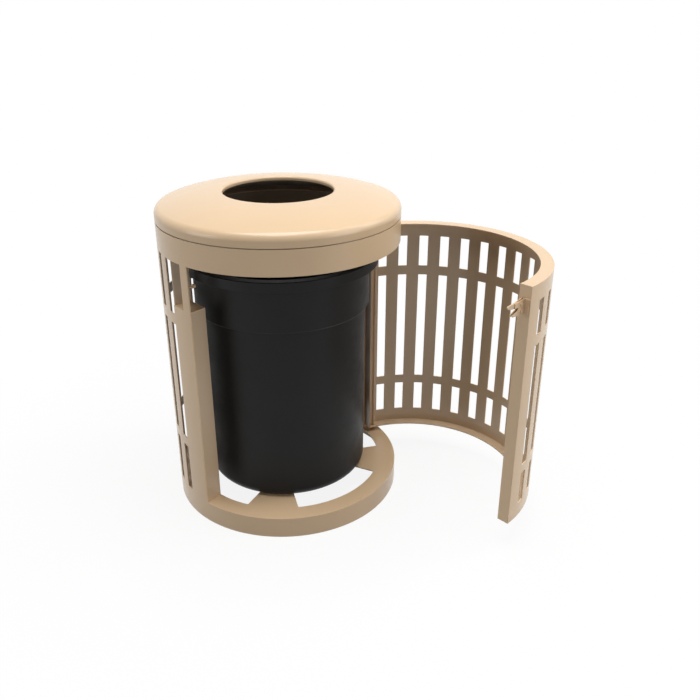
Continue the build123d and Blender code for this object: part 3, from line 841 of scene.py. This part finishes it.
def base_opening(shell, ring_inner, middle):
    """The outline of one opening of the base plate."""
    apex = Vector((-shell.opening_apex, 0.0))
    far = Vector(polar(ring_inner, shell.opening_half))
    along = (far - apex).normalized()
    back = apex.dot(along)
    near = apex + along * (-back + math.sqrt(back**2 - apex.length_squared + shell.hub_radius**2))
    lean = math.atan2(near.y, near.x)
    sides = [
        [(near.x, -near.y), (far.x, -far.y)],
        arc(ring_inner, -shell.opening_half, shell.opening_half),
        [(far.x, far.y), (near.x, near.y)],
        arc(shell.hub_radius, lean, -lean),
    ]
    spin = Matrix.Rotation(middle, 2)
    return [tuple(spin @ Vector(p)) for p in outline(sides, [shell.opening_corner] * 4)]


def along_radius(radius, offset, angle):
    """The point at a distance along a radius and an offset to its left."""
    return (radius * math.cos(angle) - offset * math.sin(angle),
            radius * math.sin(angle) + offset * math.cos(angle))


def on_both(first, second, index, places):
    """Whether the two ends of an edge lie at one and the same of some places."""
    return any(abs(first[index] - place) < NEAR and abs(second[index] - place) < NEAR for place in places)


def inside_of(radius):
    """The test for a point off a round edge, which gives the point its share of the rim's round."""
    return lambda point: 1.0 if math.hypot(*point) < radius - NEAR else 0.0


def strip_plan(inner, outer, angle, side, sheet, corner):
    """The plan of a plate that stands along a radius, to one side of it."""
    near, far = side * sheet, math.sqrt(outer**2 - sheet**2)
    lean = math.asin(sheet / outer) * side
    sides = [
        [along_radius(inner, 0.0, angle), along_radius(outer, 0.0, angle)],
        arc(outer, angle, angle + lean, step=FINE_STEP),
        [along_radius(far, near, angle), along_radius(inner, near, angle)],
        [along_radius(inner, near, angle), along_radius(inner, 0.0, angle)],
    ]
    return outline(sides, [0.0, 0.0, corner, corner])


def post_plan(place, angle, side, sheet, fold):
    """The plan of a folded post: a face along the radius and a return behind it."""
    low, high, outer = place.post_inner, place.post_inner + sheet, place.inner
    turned = angle + side * place.post_angle
    sides = [
        [along_radius(outer, 0.0, angle), along_radius(low, 0.0, angle)],
        arc(low, angle, turned),
        [polar(low, turned), polar(high, turned)],
        arc(high, turned, angle + side * math.asin(sheet / high)),
        [along_radius(math.sqrt(high**2 - sheet**2), side * sheet, angle),
         along_radius(math.sqrt(outer**2 - sheet**2), side * sheet, angle)],
        arc(outer, angle + side * math.asin(sheet / outer), angle, step=FINE_STEP),
    ]
    return outline(sides, [fold, 0.0, 0.0, fold - sheet, 0.0, 0.0], steps=6)


# The pieces, one operator for each group


class RECEPTACLE_OT_housing(bpy.types.Operator):
    """Make the slotted wall, the band, the skirt, the base plate and the lid's seat"""

    bl_idname = "receptacle.make_housing"
    bl_label = "Make Housing"

    def execute(self, context):
        made = context.scene.receptacle
        shell, slots, place = made.shell, made.slots, Layout(made)
        over = shell.band_bottom + shell.sheet
        rows = [(shell.base_height + slots.wall_floor, slots.low_top),
                (slots.middle_bottom, slots.middle_top), (slots.high_bottom, over)]
        holes = slot_holes(made, slots.wall_columns, math.pi / 2, rows)
        holes.append((place.wall_stop - place.post_angle - shell.sheet / shell.radius,
                      place.wall_stop - shell.window_strip / shell.radius, shell.post_top, over))
        ends, heights = (place.wall_start, place.wall_stop), (shell.base_height, shell.band_bottom)

        def plain(p, q):
            return on_both(p, q, 2, heights) or on_both(p, q, 0, [place.inner]) and on_both(p, q, 1, ends)

        wall = curved_sheet("wall_sheet", place.inner, shell.radius, *ends, *heights, holes,
                            shell.edge_round, plain)
        # The wall's faces that look at the axis get the inside's painted shade.
        shade_painted_faces(made, placed(made, wall, "frame", "frame_paint", ["shell_wall"]), faces_axis())

        rim = shell.edge_round
        band = section(place.inner, shell.radius, shell.band_bottom, shell.band_top, [0.0, 0.0, rim, rim])
        hoop = placed(made, spun("band_hoop", band), "frame", "frame_paint", ["top_band"])
        # The band's faces that look at the axis get the painted shade from under the lid.
        shade_painted_faces(made, hoop, faces_axis(), "deep_shade_paint")
        skirt = section(place.inner, shell.radius, 0.0, place.plate_bottom, [rim, rim, 0.0, 0.0])
        placed(made, spun("skirt_hoop", skirt), "frame", "frame_paint", ["base_skirt"])

        def free_edge(point):
            if math.hypot(*point) < shell.radius - NEAR:
                return 1.0
            azimuth = math.atan2(point[1], point[0])
            return 1.0 if place.way_start + NEAR < azimuth < place.way_stop - NEAR else 0.0

        edge = [*arc(shell.radius, place.way_start, place.way_stop),
                *arc(shell.radius, place.way_stop, place.wall_stop)[1:-1]]
        bore = circle(place.rod, place.hinge)
        openings = [base_opening(shell, place.ring_inner, shell.spoke_turn + TURN / 4 * k) for k in range(4)]
        loops = [edge, *openings, bore]
        floor = plate("base_floor_plate", loops, place.plate_bottom, shell.base_height, 0.0, rim, free_edge)
        placed(made, floor, "frame", "frame_paint", ["base_ring", "base_spokes", "base_hub"])

        loops = [circle(place.inner, points=144), circle(place.inner - shell.seat_width, points=144), bore]
        seat = plate("lid_seat_plate", loops, shell.band_top - shell.sheet, shell.band_top, rim / 2, rim / 2,
                     inside_of(place.inner))
        # The seat plate takes the inside's painted shade all over.
        placed(made, seat, "frame", "frame_paint", ["lid_seat_ring"], coat="inside_shade_paint")
        hoop = section(place.hoop_outer - shell.sheet, place.hoop_outer, shell.band_top, place.hoop_top,
                       [0.0, 0.0, rim, rim])
        # The locating hoop takes the painted shade from under the lid all over.
        placed(made, spun("lid_locating_hoop", hoop), "frame", "frame_paint", ["lid_hoop"], coat="deep_shade_paint")
        return {"FINISHED"}


class RECEPTACLE_OT_posts(bpy.types.Operator):
    """Make the folded posts beside the doorway, their back plates and the striker"""

    bl_idname = "receptacle.make_posts"
    bl_label = "Make Posts"

    def execute(self, context):
        made = context.scene.receptacle
        shell, latch, place = made.shell, made.latch, Layout(made)
        rim = shell.edge_round
        # Both posts take the inside's painted shade all over.
        plan = post_plan(place, place.wall_stop, -1, shell.sheet, shell.fold_round)
        post = plate("latch_side_post", [plan], shell.base_height, shell.post_top - shell.sheet)
        placed(made, post, "frame", "frame_paint", ["latch_post"], coat="inside_shade_paint")
        plan = post_plan(place, place.wall_start, 1, shell.sheet, shell.fold_round)
        post = plate("hinge_side_post", [plan], shell.base_height, shell.band_bottom, 0.0, rim)
        placed(made, post, "frame", "frame_paint", ["hinge_post"], coat="inside_shade_paint")

        plan = sector(place.post_inner, place.inner, place.wall_stop - place.post_angle, place.wall_stop,
                      [0.0, shell.fold_round, 0.0, 0.0], steps=6)
        cap = plate("latch_side_post_cap", [plan], shell.post_top - shell.sheet, shell.post_top, 0.0, rim,
                    inside_of(place.inner))
        placed(made, cap, "frame", "frame_paint", ["latch_post_cap"])

        for name, node, angle, side in (
            ("latch_side_back", "latch_back_plate", place.wall_stop - place.post_angle, -1),
            ("hinge_side_back", "hinge_back_plate", place.wall_start + place.post_angle, 1),
        ):
            plan = strip_plan(place.post_inner, place.inner, angle, side, shell.sheet, rim)
            back = plate(name, [plan], shell.base_height, shell.band_bottom, 0.0, rim)
            # The back plates take the inside's painted shade all over.
            placed(made, back, "frame", "frame_paint", [node], coat="inside_shade_paint")

        neck, head = latch.striker_diameter / 2, latch.striker_head / 2
        foot = math.sqrt(place.inner**2 - neck**2)
        total = latch.striker_length + latch.striker_head_length
        pin = polygon([(0.0, 0.0), (neck, 0.0), (neck, latch.striker_length), (head, latch.striker_length),
                       (head, total), (0.0, total)], [0.0, 0.0, rim, rim, latch.striker_round, 0.0], steps=6)
        across = (math.sin(place.striker_angle), -math.cos(place.striker_angle), 0.0)
        inward = (-math.cos(place.striker_angle), -math.sin(place.striker_angle), 0.0)
        laid = Matrix((across, (0.0, 0.0, 1.0), inward)).transposed().to_4x4()
        laid.translation = (*polar(foot, place.striker_angle), latch.striker_height)
        striker = spun("striker", pin, segments=48, matrix=laid)
        placed(made, striker, "frame", "frame_paint", ["striker_pin"])
        return {"FINISHED"}


class RECEPTACLE_OT_hinge(bpy.types.Operator):
    """Make the hinge rod, its nuts and the sleeve under the door"""

    bl_idname = "receptacle.make_hinge"
    bl_label = "Make Hinge"

    def execute(self, context):
        made = context.scene.receptacle
        shell, door, place = made.shell, made.door, Layout(made)
        low = place.plate_bottom - door.nut_height - door.seat_gap
        high = shell.band_top + door.nut_height + door.seat_gap
        tip = door.tip_round
        rod = spun("hinge_pin_rod", section(0.0, place.rod, low, high, [0.0, tip, tip, 0.0], steps=2),
                   ROD_SEGMENTS, place.hinge)
        # The rod takes the inside's painted shade all over.
        placed(made, rod, "frame", "frame_paint", ["hinge_rod"], coat="inside_shade_paint")

        corner = door.nut_width / 2 / math.cos(math.pi / 6)
        loops = [circle(corner, place.hinge, points=6), circle(place.rod, place.hinge, points=24)]
        nuts = [plate("nut", loops, bottom, bottom + door.nut_height, tip, tip)
                for bottom in (place.plate_bottom - door.nut_height, shell.band_top)]
        placed(made, joined("hinge_nuts", nuts), "frame", "zinc_steel", ["hinge_rod_nuts"])

        top = place.door_bottom - door.flange_height - door.seat_gap
        reach = place.bush + door.flange_width / 2
        sleeve = spun("lift_sleeve", section(place.bore, reach, shell.base_height, top, [0.0, tip, tip, 0.0]),
                      ROD_SEGMENTS, place.hinge)
        placed(made, sleeve, "frame", "bush_nylon", ["hinge_sleeve"])
        return {"FINISHED"}


class RECEPTACLE_OT_door(bpy.types.Operator):
    """Make the door's slotted skin, stiles, rails and bushes"""

    bl_idname = "receptacle.make_door"
    bl_label = "Make Door"

    def execute(self, context):
        made = context.scene.receptacle
        shell, slots, door, place = made.shell, made.slots, made.door, Layout(made)
        rim = shell.edge_round
        middle = -math.pi / 2 + slots.door_shift / shell.radius
        holes = slot_holes(made, slots.door_columns, middle,
                           [(slots.low_bottom, slots.low_top), (slots.middle_bottom, slots.middle_top),
                            (slots.high_bottom, slots.high_top)])
        ends, heights = (place.door_start, place.door_stop), (place.door_bottom, place.door_top)

        def plain(p, q):
            return on_both(p, q, 0, [place.inner]) and (on_both(p, q, 1, ends) or on_both(p, q, 2, heights))

        skin = curved_sheet("door_skin", place.inner, shell.radius, *ends, *heights, holes, rim, plain,
                            place.opened)
        centre = place.opened @ Vector((0.0, 0.0, 0.0))
        # The skin's faces that look at the door's axis get the inside's painted shade.
        shade_painted_faces(made, placed(made, skin, "door", "frame_paint", ["door_panel"]), faces_axis(centre.xy))

        # The hinge stile takes the inside's painted shade all over.
        for name, node, angle, side, coat in (
            ("latch_stile", "door_latch_stile", place.door_start, 1, "frame_paint"),
            ("hinge_stile", "door_hinge_stile", place.door_stop, -1, "inside_shade_paint"),
        ):
            plan = strip_plan(place.rail_inner, place.inner, angle, side, shell.sheet, rim)

            def outer_face(point, angle=angle, side=side):
                turned = (Matrix.Rotation(-angle, 2) @ Vector(point)).y * side
                return 1.0 if turned < NEAR and math.hypot(*point) < place.inner - NEAR else 0.0

            stile = plate(name, [plan], place.door_bottom, place.door_top, rim, rim, outer_face, place.opened)
            placed(made, stile, "door", "frame_paint", [node], coat=coat)

        lean = shell.sheet / place.rail_inner
        plan = sector(place.rail_inner, place.inner, place.door_start + lean, place.door_stop - lean,
                      [0.0] * 4)
        loops = [plan, circle(place.bush, place.hinge)]

        def inner_edge(point):
            return 1.0 if abs(math.hypot(*point) - place.rail_inner) < NEAR else 0.0

        # The bottom rail takes the inside's painted shade all over.
        for name, node, bottom, coat in (
            ("bottom_rail", "door_bottom_rail", place.door_bottom, "inside_shade_paint"),
            ("top_rail", "door_top_rail", place.door_top - shell.sheet, "frame_paint"),
        ):
            rail = plate(name, loops, bottom, bottom + shell.sheet, rim, rim, inner_edge, place.opened)
            placed(made, rail, "door", "frame_paint", [node], coat=coat)

        flange, edge = place.bush + door.flange_width, door.bush_round
        for name, node, bottom, way in (("bottom_bush", "door_bottom_bush", place.door_bottom, 1),
                                        ("top_bush", "door_top_bush", place.door_top, -1)):
            outside = bottom - way * door.flange_height
            inside = bottom + way * shell.sheet
            loop = polygon([(place.bore, outside), (flange, outside), (flange, bottom), (place.bush, bottom),
                            (place.bush, inside), (place.bore, inside)], [edge, edge, edge, 0.0, edge, edge])
            bush = spun(name, loop, ROD_SEGMENTS, place.hinge)
            placed(made, bush, "door", "bush_nylon", [node])
        return {"FINISHED"}


class RECEPTACLE_OT_latch(bpy.types.Operator):
    """Dress the latch: its two sheets, rivets, spacer, washer and hook"""

    bl_idname = "receptacle.make_latch"
    bl_label = "Make Latch"

    def execute(self, context):
        made = context.scene.receptacle
        fine = made.latch.edge_round
        for node, slot, edge_round in (
            ("latch_bracket", "frame_paint", fine), ("latch_inner_sheet", "frame_paint", fine),
            ("latch_rivets", "frame_paint", fine), ("latch_spacer", "frame_paint", 0.0),
            ("latch_washer", "zinc_steel", 0.0), ("latch_hook", "frame_paint", fine),
        ):
            dressed(made, node, slot, edge_round)
        return {"FINISHED"}


class RECEPTACLE_OT_lid(bpy.types.Operator):
    """Make the spun lid with its rolled hole and the tabs inside it"""

    bl_idname = "receptacle.make_lid"
    bl_label = "Make Lid"

    def execute(self, context):
        made = context.scene.receptacle
        shell, lid, place = made.shell, made.lid, Layout(made)
        rim = shell.edge_round
        upright = place.lid_bottom + lid.side
        shoulder = (shell.radius - lid.shoulder, upright)
        line = [(shell.radius, place.lid_bottom), (shell.radius, upright - lid.side / 2)]
        line += arc(lid.shoulder, 0.0, math.pi / 2 - lid.slope, shoulder, math.radians(4))
        end = Vector(line[-1])
        run = end.x - lid.hole - lid.lip
        lip_slope = math.asin((math.sin(lid.slope) - run / lid.crown) / (1 - lid.lip / lid.crown))
        line += arc(lid.crown, math.pi / 2 - lid.slope, math.pi / 2 - lip_slope,
                    (end.x - lid.crown * math.sin(lid.slope), end.y - lid.crown * math.cos(lid.slope)),
                    math.radians(1))[1:]
        last = Vector(line[-1])
        lip = (last.x - lid.lip * math.sin(lip_slope), last.y - lid.lip * math.cos(lip_slope))
        line += arc(lid.lip, math.pi / 2 - lip_slope, math.pi, lip, BEND_STEP)[1:]
        line.append((line[-1][0], line[-1][1] - lid.lip_drop))
        loop = thickened(line, shell.sheet, (rim, rim))
        spinning = spun("lid_spinning", loop, segments=256)
        spinning = placed(made, spinning, "lid", "frame_paint", ["lid_shell"])
        # The lid's faces that look down, above its side, get the painted shade from under the lid.
        shade_painted_faces(made, spinning, lambda spot, normal: normal.z < -LOOKS_DOWN and spot.z > upright,
                      "deep_shade_paint")

        low = place.hoop_top + made.door.seat_gap
        near, half = place.inner - lid.tab_reach, lid.tab_width / 2
        lean = math.asin(half / place.inner)
        sides = [arc(place.inner, -lean, lean), [polar(place.inner, lean), (near, half)],
                 [(near, half), (near, -half)], [(near, -half), polar(place.inner, -lean)]]
        plan = outline(sides, [0.0, rim, rim, 0.0])
        tabs = []
        for k in range(lid.tab_count):
            stand = Matrix.Rotation(lid.tab_turn + TURN * k / lid.tab_count, 4, "Z")
            tabs.append(plate("tab", [plan], low, low + shell.sheet, rim, rim, inside_of(place.inner), stand))
        placed(made, joined("lid_rest_tabs", tabs), "lid", "frame_paint", ["lid_tabs"])
        return {"FINISHED"}


class RECEPTACLE_OT_liner(bpy.types.Operator):
    """Make the loose moulded liner"""

    bl_idname = "receptacle.make_liner"
    bl_label = "Make Liner"

    def execute(self, context):
        made = context.scene.receptacle
        shell, liner = made.shell, made.liner
        bottom = shell.base_height + made.door.seat_gap
        top = bottom + liner.height
        step = bottom + liner.step_height
        lower = [(0.0, bottom), (liner.foot, bottom), (liner.body, step)]
        upper = [(liner.collar, top - liner.wall), (liner.rim - liner.wall, top - liner.wall),
                 (liner.rim - liner.wall, top - liner.rim_drop)]
        under = step + liner.lip_rise
        lip = [(liner.collar - liner.lip * math.tan(liner.lip_slope), under),
               (liner.collar, under + liner.lip)]
        line = bent([*lower, *lip, *upper], [liner.foot_round, liner.step_round, liner.lip_round,
                                             liner.lip_round, liner.bend, liner.bend])
        plain = beside([*lower, (liner.collar, step + liner.bend), *upper], liner.wall)
        loop = bent(plain, [liner.foot_round - liner.wall, liner.step_round + liner.wall, liner.step_round,
                            liner.bend + liner.wall, liner.rim_round])[::-1]
        whole = outline([line, [line[-1], loop[0]], loop], [liner.lip_round, liner.lip_round, 0.0])
        placed(made, spun("liner_moulding", whole, segments=224), "liner", "liner_plastic", ["liner"])
        return {"FINISHED"}


# The stage


def seen_directly(nodes, links):
    """One for a camera, gloss or glass ray, and nought for a ray that carries soft light."""
    rays = nodes.new("ShaderNodeLightPath")
    seen = rays.outputs["Is Camera Ray"]
    for name in ("Is Glossy Ray", "Is Transmission Ray"):
        either = nodes.new("ShaderNodeMath")
        either.operation = "MAXIMUM"
        links.new(seen, either.inputs[0])
        links.new(rays.outputs[name], either.inputs[1])
        seen = either.outputs[0]
    return seen


def mixed(nodes, links, amount, first, second):
    """A shader mixed from two others by an amount."""
    node = nodes.new("ShaderNodeMixShader")
    links.new(amount, node.inputs[0])
    links.new(first.outputs[0], node.inputs[1])
    links.new(second.outputs[0], node.inputs[2])
    return node


def floor_material(stage):
    """White where it is seen, with a faint shadow near the receptacle, and darker for the light it throws."""
    material = bpy.data.materials.new("pale_floor")
    material.use_nodes = True
    nodes, links = material.node_tree.nodes, material.node_tree.links
    nodes.clear()
    plain = grown(nodes, "ShaderNodeBsdfDiffuse", Color=(*[stage.floor_bounce] * 3, 1.0))
    shaded = grown(nodes, "ShaderNodeBsdfDiffuse", Color=(*[stage.floor_grey] * 3, 1.0))
    white = grown(nodes, "ShaderNodeEmission", Color=WHITE, Strength=1.0)
    reach = nodes.new("ShaderNodeVectorMath")
    reach.operation = "LENGTH"
    links.new(nodes.new("ShaderNodeTexCoord").outputs["Object"], reach.inputs[0])
    fade = nodes.new("ShaderNodeMapRange")
    fade.interpolation_type = "SMOOTHSTEP"
    for index, number in enumerate((stage.fade_start, stage.fade_stop, stage.floor_shade, 0.0), start=1):
        fade.inputs[index].default_value = number
    links.new(reach.outputs["Value"], fade.inputs[0])
    pale = mixed(nodes, links, fade.outputs[0], white, shaded)
    look = mixed(nodes, links, seen_directly(nodes, links), plain, pale)
    links.new(look.outputs[0], nodes.new("ShaderNodeOutputMaterial").inputs["Surface"])
    return material


def studio_floor(stage):
    """The wide floor under the receptacle."""
    bm = bmesh.new()
    bmesh.ops.create_grid(bm, x_segments=8, y_segments=8, size=stage.floor_half)
    mesh = bpy.data.meshes.new("studio_floor")
    bm.to_mesh(mesh)
    bm.free()
    mesh.materials.append(floor_material(stage))
    floor = bpy.data.objects.new("studio_floor", mesh)
    floor.location.z = -stage.floor_drop
    bpy.context.scene.collection.objects.link(floor)


def studio_room(stage):
    """Surroundings that are white to look at and give only the light set for the room."""
    world = bpy.data.worlds.new("studio_room")
    bpy.context.scene.world = world
    world.use_nodes = True
    nodes, links = world.node_tree.nodes, world.node_tree.links
    nodes.clear()
    room = grown(nodes, "ShaderNodeBackground", Color=WHITE, Strength=stage.room)
    bright = grown(nodes, "ShaderNodeBackground", Color=WHITE, Strength=1.0)
    look = mixed(nodes, links, seen_directly(nodes, links), room, bright)
    links.new(look.outputs[0], nodes.new("ShaderNodeOutputWorld").inputs["Surface"])


def aimed(name, data, place, way):
    """A lamp or camera at a place, looking along a way."""
    holder = bpy.data.objects.new(name, data)
    holder.location = place
    holder.rotation_euler = way.to_track_quat("-Z", "Y").to_euler()
    bpy.context.scene.collection.objects.link(holder)
    return holder


def softbox(name, watts, size, azimuth, reach, height, middle):
    """A rectangular lamp that looks at the middle of the receptacle."""
    lamp = bpy.data.lights.new(name, "AREA")
    lamp.shape = "RECTANGLE"
    lamp.size, lamp.size_y = size
    lamp.energy = watts
    spot = (*polar(reach, azimuth), height)
    aimed(name, lamp, spot, middle - Vector(spot))


def photo_camera(stage):
    """The camera that stands where the photograph was taken."""
    camera = bpy.data.cameras.new("photo_camera")
    camera.sensor_width = stage.sensor
    camera.lens = stage.lens
    camera.clip_end = stage.camera_reach
    level, down = math.cos(stage.camera_pitch), math.sin(stage.camera_pitch)
    ahead = Vector((*polar(level, stage.camera_azimuth), -down))
    bpy.context.scene.camera = aimed("photo_camera", camera, stage.camera_place, ahead)


class RECEPTACLE_OT_stage(bpy.types.Operator):
    """Make the pale floor, the soft light, the white surroundings and the camera"""

    bl_idname = "receptacle.make_stage"
    bl_label = "Make Stage"

    def execute(self, context):
        made = context.scene.receptacle
        stage = made.stage
        context.scene.view_settings.view_transform = "Standard"
        studio_floor(stage)
        studio_room(stage)
        overhead, side = (stage.overhead_size, stage.overhead_size), (stage.side_size, stage.side_size)
        raised, strip = (stage.raised_size, stage.raised_size), (stage.strip_width, stage.strip_length)
        middle = Vector((0.0, 0.0, made.shell.band_top / 2))
        for name, watts, size, azimuth, reach, height in (
            ("overhead_softbox", stage.overhead, overhead, 0.0, 0.0, stage.overhead_height),
            ("left_softbox", stage.left, side, stage.left_azimuth, stage.side_reach, stage.side_height),
            ("right_softbox", stage.right, side, stage.right_azimuth, stage.side_reach, stage.side_height),
            ("raised_softbox", stage.raised, raised, stage.raised_azimuth, stage.raised_reach,
             stage.raised_height),
            ("strip_softbox", stage.strip, strip, stage.strip_azimuth, stage.strip_reach, stage.strip_height),
        ):
            softbox(name, watts, size, azimuth, reach, height, middle)
        photo_camera(stage)
        return {"FINISHED"}


# The panel and the start


class RECEPTACLE_PT_panel(bpy.types.Panel):
    """The receptacle's pieces, one button for each group"""

    bl_label = "Trash Receptacle"
    bl_idname = "RECEPTACLE_PT_panel"
    bl_space_type = "VIEW_3D"
    bl_region_type = "UI"
    bl_category = "Receptacle"

    def draw(self, context):
        for operator in OPERATORS:
            self.layout.operator(operator.bl_idname)


GROUPS = (ReceptacleShell, ReceptacleSlots, ReceptacleDoor, ReceptacleLatch, ReceptacleLid, ReceptacleLiner,
          ReceptacleFinish, ReceptacleStage, ReceptacleSettings)
OPERATORS = (RECEPTACLE_OT_housing, RECEPTACLE_OT_posts, RECEPTACLE_OT_hinge, RECEPTACLE_OT_door,
             RECEPTACLE_OT_latch, RECEPTACLE_OT_lid, RECEPTACLE_OT_liner, RECEPTACLE_OT_stage)
CLASSES = (*GROUPS, *OPERATORS, RECEPTACLE_PT_panel)


def register():
    """Make the sizes, the operators and the panel known to Blender."""
    for known in CLASSES:
        bpy.utils.register_class(known)
    bpy.types.Scene.receptacle = PointerProperty(type=ReceptacleSettings)


def unregister():
    """Take the sizes, the operators and the panel away again."""
    del bpy.types.Scene.receptacle
    for known in reversed(CLASSES):
        bpy.utils.unregister_class(known)


def main():
    """Make every piece and the stage."""
    register()
    bpy.ops.receptacle.make_housing()
    bpy.ops.receptacle.make_posts()
    bpy.ops.receptacle.make_hinge()
    bpy.ops.receptacle.make_door()
    bpy.ops.receptacle.make_latch()
    bpy.ops.receptacle.make_lid()
    bpy.ops.receptacle.make_liner()
    bpy.ops.receptacle.make_stage()


if __name__ == "__main__":
    main()
